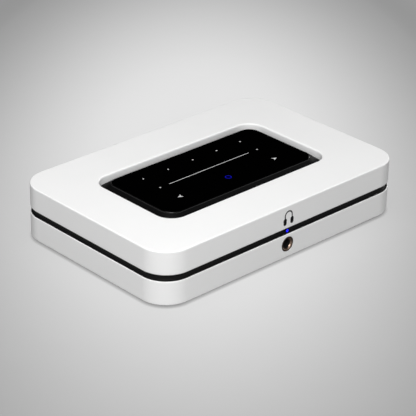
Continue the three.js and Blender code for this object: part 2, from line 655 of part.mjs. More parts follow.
function shellSocket({ x, w, h, back, wall, bladeHalf, bladeZ }) {
  const z0 = PART_Z0;
  const half = w / 2;
  const inside = half - wall;
  const outer = box(x - half, x + half, back, NOSE_FRONT, z0, z0 + h);
  const mouthBack = back + BLADE.mouthBehind;
  const mouth = box(x - inside, x + inside, mouthBack, NOSE_FRONT + OVER, z0 + wall, z0 + h - wall);
  const [low, high] = bladeZ.map((up) => z0 + up);
  const blade = box(x - bladeHalf, x + bladeHalf, back + BLADE.behind, NOSE_FRONT - BLADE.sunk, low, high);
  return combine(combine(outer, [], [mouth]), [blade]);
}

for (const [name, shape] of Object.entries(SHELL_SOCKETS)) place(name, shellSocket(shape), 'steel');

function ethernetSocket() {
  const { x, halfW, h, back, mouthHalf, mouthZ, mouthBack, latchHalf, latchZ, latchBack } = LAN;
  const z = PART_Z0;
  const front = NOSE_FRONT + OVER;
  const mouth = box(x - mouthHalf, x + mouthHalf, mouthBack, front, z + mouthZ[0], z + mouthZ[1]);
  const latch = box(x - latchHalf, x + latchHalf, latchBack, front, z + latchZ[0], z + latchZ[1]);
  return combine(box(x - halfW, x + halfW, back, NOSE_FRONT, z, z + h), [], [mouth, latch]);
}

function roundSocket(cx) {
  const { half, h, back, nose, bore, boreBack } = ROUND_SOCKET;
  const z = PART_Z0 + h / 2;
  const body = box(cx - half, cx + half, back, SOCKET_FRONT, PART_Z0, PART_Z0 + h);
  const snout = rodY(cx, z, nose, SOCKET_FRONT - OVER, NOSE_FRONT);
  return combine(body, [snout], [rodY(cx, z, bore, boreBack, NOSE_FRONT + OVER, SIDES.middle)]);
}

function setupButton() {
  const { x, z, r, edge, seat, stemR, collarR, collarT } = BUTTON;
  const collarBack = SOCKET_FRONT - collarT;
  const profile = [
    [0, seat], [stemR, seat], [stemR, collarBack], [collarR, collarBack], [collarR, SOCKET_FRONT],
    [r, SOCKET_FRONT], [r, NOSE_FRONT - edge], [r - edge, NOSE_FRONT], [0, NOSE_FRONT],
  ];
  return turnedY(profile, x, z, SIDES.middle);
}

place('ethernet_socket', ethernetSocket(), 'steel');
for (const [name, cx] of Object.entries(ROUND_SOCKET_X)) place(name, roundSocket(cx), 'black');
place('setup_button', setupButton(), 'rubber');
place('setup_switch', box(BUTTON.x - SWITCH.left, BUTTON.x + SWITCH.right, SWITCH.y0, SWITCH.y1,
  PART_Z0, BUTTON.z + SWITCH.up), 'chip');

// ---------- tray that carries both boards ----------
function chassisTray() {
  const { x0, x1, y0, y1, z0, t, root, jackHalf, ventRoom } = TRAY;
  const z1 = z0 + t;
  const added = [];
  for (const [x, y] of [...MAIN_PINS, ...POWER_PINS]) {
    added.push(post(x, y, LOCATING.shoulder, z0 + root, BOARD.z0 - GAP, 8));
    added.push(post(x, y, LOCATING.pin, BOARD.z0 - OVER, BOARD.z1 + LOCATING.proud, 8));
  }
  const removed = BOSSES.map(([x, y]) => post(x, y, BOSS.r + OVER, 0, TOP));
  removed.push(box(-jackHalf, jackHalf, y0 - OVER, JACK.back + 2 * OVER, 0, TOP));
  const inner = VENT.x0 - ventRoom;
  const outer = VENT.x0 + VENT.pitch * (VENT.count - 2) + 2;
  removed.push(box(inner, outer, VENT.y0, VENT.y1, 0, z1 + OVER));
  removed.push(box(-outer, -inner, VENT.y0, VENT.y1, 0, z1 + OVER));
  return combine(combine(box(x0, x1, y0, y1, z0, z1), [], removed), added);
}

place('chassis_tray', chassisTray(), 'steel');

// ---------- main board ----------
function boardWithHoles({ x0, x1, y0, y1 }, pins) {
  const holes = pins.map(([x, y]) => post(x, y, LOCATING.hole, BOARD.z0 - OVER, BOARD.z1 + OVER));
  return combine(box(x0, x1, y0, y1, BOARD.z0, BOARD.z1), [], holes);
}

function processor() {
  const { x, y, half, z1 } = CPU;
  return box(x - half, x + half, y - half, y + half, PART_Z0, z1);
}

function heatSink() {
  const { half, z0, baseT, h, fins, finHalf } = HEATSINK;
  const blades = [];
  for (let i = 0; i < fins; i++) {
    const x = CPU.x - half + finHalf + i * 2 * (half - finHalf) / (fins - 1);
    blades.push(box(x - finHalf, x + finHalf, CPU.y - half, CPU.y + half, z0 + baseT - OVER, z0 + h));
  }
  return combine(box(CPU.x - half, CPU.x + half, CPU.y - half, CPU.y + half, z0, z0 + baseT), blades);
}

place('main_board', boardWithHoles(MAIN, MAIN_PINS), 'board');
place('processor', processor(), 'chip');
place('processor_heatsink', heatSink(), 'aluminium');
place('wireless_module', boxOf(WIRELESS), 'steel');
place('antenna', boxOf(ANTENNA), 'flex');
place('antenna_lead', wire(ANTENNA_RUN, 0.7, 18), 'matteBlack');

// ---------- power board ----------
function capacitor() {
  const { x, y, r, h, groove, grooveZ, grooveHalf, edge } = CAPACITOR;
  const z = PART_Z0;
  return turnedZ([[0, z], [r, z], [r, z + grooveZ - grooveHalf], [r - groove, z + grooveZ],
    [r, z + grooveZ + grooveHalf], [r, z + h - edge], [r - edge, z + h], [0, z + h]], x, y, SIDES.middle);
}

function choke() {
  const g = new THREE.TorusGeometry(CHOKE.R, CHOKE.r, 8, 16);
  g.rotateY(Math.PI / 2);
  g.translate(CHOKE.x, CHOKE.y, CHOKE.z);
  return g;
}

function barrier() {
  const { y0, y1, z0 } = BARRIER_NOTCH;
  const notch = box(BARRIER.x0 - OVER, BARRIER.x1 + OVER, y0, y1, z0, BARRIER.z1 + OVER);
  return combine(boxOf(BARRIER), [], [notch]);
}

place('power_board', boardWithHoles(POWER, POWER_PINS), 'board');
place('transformer', combine(boxOf(BOBBIN), [boxOf(CORE)]), 'ferrite');
place('bulk_capacitor', capacitor(), 'sleeve');
place('line_choke', choke(), 'bronze');
place('fuse', rodX(FUSE.y, FUSE.z, FUSE.r, FUSE.x0, FUSE.x1), 'fuseGlass');
place('insulation_barrier', barrier(), 'film');
place('dc_harness', wire(DC_RUN, 1.6, 20), 'greyWire');

export default assembly;
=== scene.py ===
"""Looks of the desktop audio receiver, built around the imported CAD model, in the CAD frame.

Dimensions are written in millimetres and turned into metres by MM; camera, lights and floor are in metres.
"""

import math

import bmesh
import bpy
from mathutils import Matrix, Vector


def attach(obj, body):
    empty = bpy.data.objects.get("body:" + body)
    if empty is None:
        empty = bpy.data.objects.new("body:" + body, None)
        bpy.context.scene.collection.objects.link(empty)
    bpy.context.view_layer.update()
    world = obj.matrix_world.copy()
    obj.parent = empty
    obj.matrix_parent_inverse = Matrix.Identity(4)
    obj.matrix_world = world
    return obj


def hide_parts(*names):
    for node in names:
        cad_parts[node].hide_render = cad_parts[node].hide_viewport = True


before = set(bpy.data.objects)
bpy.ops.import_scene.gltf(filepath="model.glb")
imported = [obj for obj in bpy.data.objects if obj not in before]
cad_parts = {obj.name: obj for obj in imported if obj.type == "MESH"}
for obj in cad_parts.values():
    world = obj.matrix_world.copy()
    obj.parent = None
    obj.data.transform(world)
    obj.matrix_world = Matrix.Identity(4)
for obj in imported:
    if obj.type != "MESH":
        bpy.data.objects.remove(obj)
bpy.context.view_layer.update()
MM = 0.001

# ---------- dimensions that the fine meshes share with the CAD, in millimetres ----------
BODY = (220.0, 146.0, 20.0)
WALL = 2.5
BASE_Z = 1.5
LOWER_TOP = 19.0
UPPER_BOTTOM = 23.0
TOP = 40.1
HALF_D = BODY[1] / 2
PANEL_Y = 0.3
OPENING = (148.0, 78.2, 12.5)
RECESS_FOOT = TOP - 5.7
SKIRT = 2.0
ROOF_UNDER = TOP - WALL
GLASS = (133.7, 63.9, 8.0)
GLASS_TOP = TOP - 0.4
GLASS_T = 1.8
BAND_INSET = 2.0
WINDOW_X = 88.0
WINDOW_Z = (6.0, 33.0)
BAY_FACE = 64.0
SOCKET_FRONT = 61.7
NOSE_FRONT = 64.8
PART_Z0 = 11.6
JACK_Z = 11.35
LED_Z = 21.0
LIGHT_R = 1.25
LIGHT_FRONT = -HALF_D + 0.4
INLET = (-76.0, 17.5)
RCA_Z = 18.3
RCA_R = 4.2
RCA_TIP = 71.8
OPTICAL = (25.5, 17.6)
HDMI_X = 10.0
USB_X = -7.5
LAN_X = -24.5
SMALL_X = {"line_in_socket": -38.0, "ir_in_socket": -48.0}
BUTTON = (-57.5, 16.0, 2.2)
BOSSES = [(sx * 98.5, sy * 48.0) for sx in (-1, 1) for sy in (-1, 1)]
FEET = [(sx * 84.0, sy * 50.0) for sx, sy in ((-1, -1), (1, -1), (-1, 1), (1, 1))]
FOOT_R = 8.0


# ---------- camera ----------
VIEW_AZIMUTH, VIEW_ELEVATION, VIEW_ROLL = (math.radians(a) for a in (-43.578, 27.058, 1.074))
VIEW_DISTANCE = 1.24534
VIEW_TARGET = Vector((-0.018037, -0.015165, 0.0215))
SENSOR_WIDTH = 36.0
FOCAL_LENGTH = 160.56
FRAME_SHIFT = 0.0012


def add_camera():
    """A long lens that looks down on the front left corner, with a slight roll."""
    back = Vector((math.sin(VIEW_AZIMUTH) * math.cos(VIEW_ELEVATION),
                   -math.cos(VIEW_AZIMUTH) * math.cos(VIEW_ELEVATION), math.sin(VIEW_ELEVATION)))
    level = (-back).cross(Vector((0, 0, 1))).normalized()
    rise = level.cross(-back)
    right = level * math.cos(VIEW_ROLL) + rise * math.sin(VIEW_ROLL)
    up = rise * math.cos(VIEW_ROLL) - level * math.sin(VIEW_ROLL)
    data = bpy.data.cameras.new("camera")
    data.sensor_width = SENSOR_WIDTH
    data.lens = FOCAL_LENGTH
    data.shift_y = FRAME_SHIFT
    data.clip_start = 0.05
    data.clip_end = 20.0
    camera = bpy.data.objects.new("camera", data)
    rotation = Matrix((right, up, back)).transposed().to_4x4()
    camera.matrix_world = Matrix.Translation(VIEW_TARGET + back * VIEW_DISTANCE) @ rotation
    bpy.context.scene.collection.objects.link(camera)
    bpy.context.scene.camera = camera


add_camera()


# ---------- procedural materials ----------
WHITE = 0.86


def link(tree, a, b):
    tree.links.new(a, b)


def make_material(name, color, rough, metal=0.0, tone=0.06, rough_swing=0.06, grain=0.25, bump=0.05,
                  blotch=18.0, specular=0.5):
    """Slow tone change, patchy roughness and a fine moulded grain; grain and blotch are sizes in mm."""
    material = bpy.data.materials.new(name)
    material.use_nodes = True
    tree = material.node_tree
    shader = tree.nodes["Principled BSDF"]
    shader.inputs["Metallic"].default_value = metal
    shader.inputs["Specular IOR Level"].default_value = specular
    where = tree.nodes.new("ShaderNodeTexCoord")

    slow = tree.nodes.new("ShaderNodeTexNoise")
    slow.inputs["Scale"].default_value = 1000.0 / blotch
    slow.inputs["Detail"].default_value = 3.0
    link(tree, where.outputs["Object"], slow.inputs["Vector"])
    shade = tree.nodes.new("ShaderNodeValToRGB")
    shade.color_ramp.elements[0].position = 0.3
    shade.color_ramp.elements[1].position = 0.7
    shade.color_ramp.elements[0].color = (*[c * (1 - tone) for c in color], 1)
    shade.color_ramp.elements[1].color = (*[min(1.0, c * (1 + tone)) for c in color], 1)
    link(tree, slow.outputs["Fac"], shade.inputs["Fac"])
    link(tree, shade.outputs["Color"], shader.inputs["Base Color"])

    patch = tree.nodes.new("ShaderNodeTexNoise")
    patch.inputs["Scale"].default_value = 1000.0 / (blotch * 0.35)
    patch.inputs["Detail"].default_value = 4.0
    link(tree, where.outputs["Object"], patch.inputs["Vector"])
    gloss = tree.nodes.new("ShaderNodeMapRange")
    gloss.inputs["To Min"].default_value = max(0.02, rough - rough_swing)
    gloss.inputs["To Max"].default_value = min(1.0, rough + rough_swing)
    link(tree, patch.outputs["Fac"], gloss.inputs["Value"])
    link(tree, gloss.outputs["Result"], shader.inputs["Roughness"])

    fine = tree.nodes.new("ShaderNodeTexNoise")
    fine.inputs["Scale"].default_value = 1000.0 / grain
    fine.inputs["Detail"].default_value = 2.0
    link(tree, where.outputs["Object"], fine.inputs["Vector"])
    relief = tree.nodes.new("ShaderNodeBump")
    relief.inputs["Strength"].default_value = bump
    relief.inputs["Distance"].default_value = grain * 0.2 * MM
    link(tree, fine.outputs["Fac"], relief.inputs["Height"])
    link(tree, relief.outputs["Normal"], shader.inputs["Normal"])
    return material


def make_glow(name, color, strength, base):
    """A lit symbol: the light varies a little over it, as a diffused LED does."""
    material = make_material(name, base, 0.35, tone=0.03, grain=0.2, bump=0.03)
    tree = material.node_tree
    shader = tree.nodes["Principled BSDF"]
    where = tree.nodes.new("ShaderNodeTexCoord")
    cloud = tree.nodes.new("ShaderNodeTexNoise")
    cloud.inputs["Scale"].default_value = 900.0
    link(tree, where.outputs["Object"], cloud.inputs["Vector"])
    ramp = tree.nodes.new("ShaderNodeValToRGB")
    ramp.color_ramp.elements[0].color = (*[c * 0.8 for c in color], 1)
    ramp.color_ramp.elements[1].color = (*color, 1)
    link(tree, cloud.outputs["Fac"], ramp.inputs["Fac"])
    link(tree, ramp.outputs["Color"], shader.inputs["Emission Color"])
    shader.inputs["Emission Strength"].default_value = strength
    return material


def make_board(name):
    """Solder mask over copper: darker ground with slightly paler tracks."""
    material = make_material(name, (0.012, 0.075, 0.04), 0.38, tone=0.12, grain=0.4, bump=0.05)
    tree = material.node_tree
    shader = tree.nodes["Principled BSDF"]
    where = tree.nodes.new("ShaderNodeTexCoord")
    cells = tree.nodes.new("ShaderNodeTexVoronoi")
    cells.feature = "DISTANCE_TO_EDGE"
    cells.inputs["Scale"].default_value = 240.0
    link(tree, where.outputs["Object"], cells.inputs["Vector"])
    tracks = tree.nodes.new("ShaderNodeValToRGB")
    tracks.color_ramp.interpolation = "CONSTANT"
    tracks.color_ramp.elements[0].color = (0.03, 0.14, 0.07, 1)
    tracks.color_ramp.elements[1].position = 0.09
    tracks.color_ramp.elements[1].color = (0.012, 0.075, 0.04, 1)
    link(tree, cells.outputs["Distance"], tracks.inputs["Fac"])
    link(tree, tracks.outputs["Color"], shader.inputs["Base Color"])
    return material


MAT = {
    "white": make_material("satin_white_paint", (WHITE, WHITE, 0.857), 0.42, tone=0.006, rough_swing=0.04,
                           grain=0.22, bump=0.045, blotch=30, specular=0.5),
    "band": make_material("groove_black", (0.006, 0.006, 0.0063), 0.45, tone=0.15, rough_swing=0.06,
                          grain=0.3, bump=0.06, specular=0.2),
    "surround": make_material("surround_black", (0.0025, 0.0025, 0.0026), 0.5, tone=0.1, rough_swing=0.05,
                              grain=0.25, bump=0.06, specular=0.05),
    # Partly painted highlight: the rim is paler than the surround to stand for the light along the glass's
    # polished edge.
    "rim": make_material("rim_black_painted_highlight", (0.019, 0.019, 0.0195), 0.55, tone=0.1, rough_swing=0.04,
                         grain=0.25, bump=0.03, specular=0.2),
    "glass": make_material("black_glass", (0.0003, 0.0003, 0.00035), 0.05, tone=0.2, rough_swing=0.015,
                           grain=2.0, bump=0.004, blotch=25, specular=0.45),
    "bay": make_material("bay_black", (0.02, 0.02, 0.0205), 0.5, tone=0.12, rough_swing=0.08,
                         grain=0.35, bump=0.22),
    "socket": make_material("socket_black", (0.009, 0.009, 0.0095), 0.35, tone=0.12, grain=0.25, bump=0.08),
    "print_white": make_material("print_white", (0.62, 0.62, 0.62), 0.4, tone=0.03, grain=0.15, bump=0.04),
    "print_grey": make_material("print_grey", (0.012, 0.0125, 0.014), 0.5, tone=0.08, grain=0.15,
                                bump=0.05),
    "bronze": make_material("bronze_plate", (0.10, 0.072, 0.055), 0.3, metal=1.0, tone=0.12,
                            rough_swing=0.08, grain=0.4, bump=0.04, blotch=4),
    # Painted highlight: a paler copy of the bronze for the light caught on the headphone socket's
    # countersink.
    "painted_highlight_bronze": make_material("painted_highlight_bronze_plate", (0.50, 0.36, 0.28), 0.24, metal=1.0, tone=0.1,
                               rough_swing=0.06, grain=0.4, bump=0.04, blotch=3),
    "nickel": make_material("nickel_plate", (0.70, 0.68, 0.64), 0.2, metal=1.0, tone=0.05, rough_swing=0.06,
                            grain=0.5, bump=0.03, blotch=6),
    "steel": make_material("rolled_steel", (0.55, 0.56, 0.58), 0.32, metal=1.0, tone=0.07, rough_swing=0.08,
                           grain=0.3, bump=0.08, blotch=5),
    "gold": make_material("gold_contact", (0.85, 0.60, 0.25), 0.25, metal=1.0, tone=0.07, rough_swing=0.06,
                          grain=0.3, bump=0.03, blotch=3),
    "brass": make_material("brass", (0.72, 0.52, 0.24), 0.28, metal=1.0, tone=0.08, rough_swing=0.07,
                           grain=0.3, bump=0.05, blotch=4),
    "aluminium": make_material("extruded_aluminium", (0.60, 0.61, 0.63), 0.4, metal=1.0, tone=0.06,
                               grain=0.2, bump=0.12),
    "rubber": make_material("black_rubber", (0.018, 0.018, 0.018), 0.8, tone=0.15, grain=0.3, bump=0.3),
    "chip": make_material("chip_black", (0.02, 0.02, 0.022), 0.55, tone=0.12, grain=0.2, bump=0.15),
    "flex": make_material("flex_amber", (0.42, 0.20, 0.05), 0.35, tone=0.12, grain=0.5, bump=0.05),
    "grey_sleeve": make_material("sleeve_grey", (0.12, 0.12, 0.125), 0.5, tone=0.1, grain=0.3, bump=0.1),
    "brown_sleeve": make_material("sleeve_brown", (0.12, 0.045, 0.02), 0.45, tone=0.1, grain=0.3,
                                  bump=0.08),
    "blue_sleeve": make_material("sleeve_blue", (0.02, 0.07, 0.25), 0.45, tone=0.1, grain=0.3, bump=0.08),
    "tape": make_material("transformer_tape", (0.48, 0.36, 0.05), 0.4, tone=0.12, grain=0.6, bump=0.1),
    "shrink": make_material("shrink_sleeve", (0.015, 0.03, 0.10), 0.3, tone=0.1, grain=0.4, bump=0.05),
    "copper": make_material("enamelled_copper", (0.45, 0.16, 0.06), 0.3, metal=1.0, tone=0.15, grain=0.8,
                            bump=0.3),
    "film": make_material("barrier_film", (0.75, 0.73, 0.66), 0.5, tone=0.05, grain=0.5, bump=0.05),
    "board": make_board("solder_mask"),
    "red": make_material("plug_red", (0.38, 0.01, 0.012), 0.4, tone=0.08, grain=0.25, bump=0.06),
    "ivory": make_material("plug_white", (0.75, 0.75, 0.73), 0.4, tone=0.05, grain=0.25, bump=0.06),
    "violet": make_material("plug_violet", (0.09, 0.02, 0.16), 0.4, tone=0.08, grain=0.25, bump=0.06),
    "orange": make_material("plug_orange", (0.62, 0.16, 0.01), 0.4, tone=0.08, grain=0.25, bump=0.06),
    "status_blue": make_glow("status_blue", (0.0, 0.0, 1.0), 1.1, (0.0, 0.0, 0.3)),
    "ring_blue": make_glow("ring_blue", (0.0, 0.0, 0.36), 1.0, (0.0, 0.0, 0.08)),
    "green_lamp": make_material("lamp_green", (0.05, 0.28, 0.07), 0.25, tone=0.05, grain=0.3, bump=0.03),
    "amber_lamp": make_material("lamp_amber", (0.50, 0.22, 0.02), 0.25, tone=0.05, grain=0.3, bump=0.03),
}


# ---------- mesh helpers ----------
def outline(width, depth, radius, steps, guard=0.6):
    """Rounded rectangle, anticlockwise from +X, with a guard point beside each arc so flats shade flat."""
    points = []
    corners = ((1, 1, 0), (-1, 1, 1), (-1, -1, 2), (1, -1, 3))
    guard = min(guard, max(0.02, (min(width, depth) / 2 - radius) * 0.5))
    for sx, sy, quarter in corners:
        cx = sx * (width / 2 - radius)
        cy = sy * (depth / 2 - radius)
        arc = []
        for i in range(steps + 1):
            a = (quarter + i / steps) * math.pi / 2
            arc.append((cx + radius * math.cos(a), cy + radius * math.sin(a)))
        a0 = quarter * math.pi / 2
        a1 = (quarter + 1) * math.pi / 2
        points.append((arc[0][0] + guard * math.sin(a0), arc[0][1] - guard * math.cos(a0)))
        points.extend(arc)
        points.append((arc[-1][0] - guard * math.sin(a1), arc[-1][1] + guard * math.cos(a1)))
    return points


def skin(stations, steps=18, closed=True, caps=False):
    """Quads through [width, depth, radius, z, centre_y] stations in mm."""
    mesh = bmesh.new()
    rows = []
    for width, depth, radius, z, cy in stations:
        rows.append([mesh.verts.new((x * MM, (y + cy) * MM, z * MM))
                     for x, y in outline(width, depth, radius, steps)])
    count = len(rows[0])
    for k in range(len(rows) if closed else len(rows) - 1):
        a, b = rows[k], rows[(k + 1) % len(rows)]
        for i in range(count):
            j = (i + 1) % count
            mesh.faces.new((a[i], a[j], b[j], b[i]))
    if caps:
        mesh.faces.new(list(reversed(rows[0])))
        mesh.faces.new(rows[-1])
    bmesh.ops.recalc_face_normals(mesh, faces=mesh.faces)
    return mesh


def add_object(name, mesh, smooth_angle=32.0):
    data = bpy.data.meshes.new(name)
    mesh.to_mesh(data)
    mesh.free()
    obj = bpy.data.objects.new(name, data)
    bpy.context.scene.collection.objects.link(obj)
    soften(obj, smooth_angle)
    return obj


def soften(obj, smooth_angle=32.0):
    for face in obj.data.polygons:
        face.use_smooth = True
    obj.data.set_sharp_from_angle(angle=math.radians(smooth_angle))


def dress(obj, material, body, replaced=()):
    obj.data.materials.clear()
    obj.data.materials.append(MAT[material])
    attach(obj, body)
    if replaced:
        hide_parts(*replaced)
    return obj


def arc_points(cx, cz, radius, start, end, steps):
    """Points of an arc in a (distance, height) profile, angles in degrees."""
    out = []
    for i in range(steps + 1):
        a = math.radians(start + (end - start) * i / steps)
        out.append((cx + radius * math.cos(a), cz + radius * math.sin(a)))
    return out


AXIS_RADIUS = 1e-6


def lathe(profile, segments, place):
    """Turns a (radius, height) profile, closed or ending on the axis; place puts its points in space."""
    mesh = bmesh.new()
    rows = []
    for radius, height in profile:
        if radius < AXIS_RADIUS:
            rows.append([mesh.verts.new([c * MM for c in place(0, 0, height)])])
        else:
            ring = []
            for i in range(segments):
                a = 2 * math.pi * i / segments
                spot = place(radius * math.cos(a), radius * math.sin(a), height)
                ring.append(mesh.verts.new([c * MM for c in spot]))
            rows.append(ring)
    closed = len(rows[0]) > 1 and len(rows[-1]) > 1
    for k in range(len(rows) if closed else len(rows) - 1):
        a, b = rows[k], rows[(k + 1) % len(rows)]
        for i in range(segments):
            j = (i + 1) % segments
            corner = [a[i % len(a)], a[j % len(a)], b[j % len(b)], b[i % len(b)]]
            unique = []
            for v in corner:
                if v not in unique:
                    unique.append(v)
            if len(unique) > 2:
                mesh.faces.new(unique)
    bmesh.ops.recalc_face_normals(mesh, faces=mesh.faces)
    return mesh


def along_y(cx, cz):
    return lambda x, y, h: (cx + x, h, cz + y)


def along_z(cx, cy):
    return lambda x, y, h: (cx + x, cy + y, h)


def block(x0, x1, y0, y1, z0, z1, radius=0.0, segments=3):
    mesh = bmesh.new()
    bmesh.ops.create_cube(mesh, size=1.0)
    for v in mesh.verts:
        v.co = Vector(((x0 + x1) / 2 + v.co.x * (x1 - x0), (y0 + y1) / 2 + v.co.y * (y1 - y0),
                       (z0 + z1) / 2 + v.co.z * (z1 - z0))) * MM
    if radius > 0:
        bmesh.ops.bevel(mesh, geom=list(mesh.edges), offset=radius * MM, segments=segments, profile=0.5,
                        affect="EDGES")
    return mesh


def merge(*meshes):
    joined = bmesh.new()
    for part in meshes:
        data = bpy.data.meshes.new("part")
        part.to_mesh(data)
        part.free()
        joined.from_mesh(data)
        bpy.data.meshes.remove(data)
    return joined


def carve(obj, *cutters, smooth_angle=32.0, bevel=0.0):
    """Cuts closed meshes out of an object and bakes the result into its own mesh."""
    tool = add_object("cutter", merge(*cutters))
    cut = obj.modifiers.new("cut", "BOOLEAN")
    cut.operation = "DIFFERENCE"
    cut.solver = "EXACT"
    cut.object = tool
    if bevel > 0:
        edge = obj.modifiers.new("edge", "BEVEL")
        edge.width = bevel * MM
        edge.segments = 2
        edge.limit_method = "ANGLE"
        edge.angle_limit = math.radians(50)
        edge.harden_normals = False
    graph = bpy.context.evaluated_depsgraph_get()
    baked = bpy.data.meshes.new_from_object(obj.evaluated_get(graph))
    obj.modifiers.clear()
    old = obj.data
    obj.data = baked
    baked.name = obj.name
    bpy.data.meshes.remove(old)
    data = tool.data
    bpy.data.objects.remove(tool)
    bpy.data.meshes.remove(data)
    soften(obj, smooth_angle)
    return obj


def rod_y(x, z, radius, y0, y1, segments=48):
    return lathe([(0, y0), (radius, y0), (radius, y1), (0, y1)], segments, along_y(x, z))


def rod_z(x, y, radius, z0, z1, segments=48):
    return lathe([(0, z0), (radius, z0), (radius, z1), (0, z1)], segments, along_z(x, y))


def slot_y(x, z, width, height, y0, y1, radius, steps=8):
    """A rounded-rectangle rod along Y."""
    mesh = bmesh.new()
    rows = []
    for y in (y0, y1):
        rows.append([mesh.verts.new(((x + u) * MM, y * MM, (z + v) * MM))
                     for u, v in outline(width, height, radius, steps, 0.02)])
    count = len(rows[0])
    for i in range(count):
        j = (i + 1) % count
        mesh.faces.new((rows[0][i], rows[0][j], rows[1][j], rows[1][i]))
    mesh.faces.new(rows[0])
    mesh.faces.new(rows[1])
    bmesh.ops.recalc_face_normals(mesh, faces=mesh.faces)
    return mesh


# ---------- shells ----------
LEDGE_DROP = 0.3
UPPER_LIFT = 0.3


def body_at(inset, z):
    """The body's outline, inset from its outer face."""
    return (BODY[0] - 2 * inset, BODY[1] - 2 * inset, BODY[2] - inset, z, 0.0)


def opening_at(inset, z, radius=None):
    """The opening's outline, inset from its wall; a negative inset is out in the white plastic."""
    r = OPENING[2] - inset if radius is None else radius
    return (OPENING[0] - 2 * inset, OPENING[1] - 2 * inset, r, z, PANEL_Y)


def upper_shell():
    low, high, lip = 0.6, 0.85, 1.1
    stations = []
    foot = UPPER_BOTTOM + UPPER_LIFT
    stations += [body_at(i, z) for i, z in arc_points(low, foot + low, low, 270, 180, 4)]
    stations += [body_at(0, foot + low + 0.3), body_at(0, TOP - high - 0.3)]
    stations += [body_at(i, z) for i, z in arc_points(high, TOP - high, high, 180, 90, 6)]
    stations += [body_at(high + 0.3, TOP)]
    stations += [opening_at(-lip - 0.3, TOP)]
    stations += [opening_at(i, z) for i, z in arc_points(-lip, TOP - lip, lip, 90, 0, 4)]
    stations += [opening_at(0, TOP - lip - 0.3), opening_at(0, RECESS_FOOT)]
    stations += [opening_at(-SKIRT, RECESS_FOOT), opening_at(-SKIRT, ROOF_UNDER)]
    stations += [body_at(WALL, ROOF_UNDER), body_at(WALL, foot)]
    shell = add_object("upper_shell_fine", skin(stations))
    window = block(-WINDOW_X, WINDOW_X, HALF_D - WALL - 1, HALF_D + 1, UPPER_BOTTOM - 1, WINDOW_Z[1])
    return carve(shell, window)


VENT_COUNT, VENT_FIRST_X, VENT_PITCH, VENT_HALF = 6, 20, 7, 1.2
VENT_Y = (-8, 34)
FOOT_RECESS_TOP = 2.2
SCREW_WELL_R, SCREW_WELL_TOP = 3.3, 4.2
JACK_HOLE_R = 5.45


def lower_shell():
    low, high, top = 1.0, 0.5, LOWER_TOP - LEDGE_DROP
    stations = [body_at(low + 0.3, BASE_Z)]
    stations += [body_at(i, z) for i, z in arc_points(low, BASE_Z + low, low, 270, 180, 6)]
    stations += [body_at(0, BASE_Z + low + 0.3), body_at(0, top - high - 0.3)]
    stations += [body_at(i, z) for i, z in arc_points(high, top - high, high, 180, 90, 4)]
    stations += [body_at(high + 0.2, top), body_at(WALL, top), body_at(WALL, BASE_Z + WALL)]
    shell = add_object("lower_shell_fine", skin(stations, closed=False, caps=True))
    cutters = [block(-WINDOW_X, WINDOW_X, HALF_D - WALL - 1, HALF_D + 1, WINDOW_Z[0], LOWER_TOP + 1)]
    cutters.append(rod_y(0, JACK_Z, JACK_HOLE_R, -HALF_D - 1, -HALF_D + WALL + 1, 64))
    cutters += [rod_z(x, y, FOOT_R + 0.3, 0, FOOT_RECESS_TOP) for x, y in FEET]
    cutters += [rod_z(x, y, SCREW_WELL_R, 0, SCREW_WELL_TOP, 32) for x, y in BOSSES]
    for side in (-1, 1):
        for i in range(VENT_COUNT):
            x = side * (VENT_FIRST_X + VENT_PITCH * i)
            cutters.append(block(x - VENT_HALF, x + VENT_HALF, *VENT_Y, 0, BASE_Z + WALL + 1))
    return carve(shell, *cutters)


dress(upper_shell(), "white", "housing", ["upper_shell"])
dress(lower_shell(), "white", "housing", ["lower_shell"])


def shadow_band():
    """Black ring in the groove, with a thin lip that lies over the lower shell's ledge."""
    face, inner, lip = BAND_INSET, BAND_INSET + 4, 0.5
    z0, z1, soft = LOWER_TOP - LEDGE_DROP + 0.08, UPPER_BOTTOM - 0.12, 0.3
    lip_top, edge = z0 + 0.5, 0.2
    stations = [body_at(i, z) for i, z in arc_points(lip + edge, z0 + edge, edge, 270, 180, 3)]
    stations += [body_at(i, z) for i, z in arc_points(lip + edge, lip_top - edge, edge, 180, 90, 3)]
    stations += [body_at(i, z) for i, z in arc_points(face - soft, lip_top + soft, soft, 270, 360, 3)]
    stations += [body_at(face, z1 - soft - 0.2)]
    stations += [body_at(i, z) for i, z in arc_points(face + soft, z1 - soft, soft, 180, 90, 3)]
    stations += [body_at(inner, z1), body_at(inner, z0)]
    band = add_object("shadow_band_fine", skin(stations))
    rear = block(-90, 90, HALF_D - 12, HALF_D + 1, 0, TOP)
    return carve(band, rear, rod_y(0, LED_Z, LIGHT_R + 0.1, -HALF_D, -HALF_D + 8, 40))


dress(shadow_band(), "band", "housing", ["shadow_band"])


# ---------- touch panel ----------
RISE_END = 6.8


def surround():
    """Black frame that rises from the foot of the recess wall to the ledge that carries the glass."""
    stations = [opening_at(0.15, RECESS_FOOT - 2.0), opening_at(0.15, RECESS_FOOT - 0.25),
                opening_at(0.3, RECESS_FOOT)]
    slope = [(0.6, RECESS_FOOT + 0.25), (RISE_END - 0.5, GLASS_TOP - 0.62),
             (RISE_END - 0.2, GLASS_TOP - 0.45), (RISE_END, GLASS_TOP - 0.5)]
    for inset, z in slope:
        share = inset / RISE_END
        stations.append(opening_at(inset, z, OPENING[2] + (GLASS[2] - OPENING[2]) * share))
    ledge, hole = GLASS_TOP - GLASS_T - 0.2, RISE_END + 2.7
    stations += [opening_at(RISE_END, ledge, GLASS[2]), opening_at(hole, ledge, GLASS[2] - 2.5),
                 opening_at(hole, RECESS_FOOT - 2.0, GLASS[2] - 2.5)]
    return add_object("panel_surround_fine", skin(stations), 28)


def glass_at(inset, z):
    return (GLASS[0] - 2 * inset, GLASS[1] - 2 * inset, GLASS[2] - inset, z, PANEL_Y)


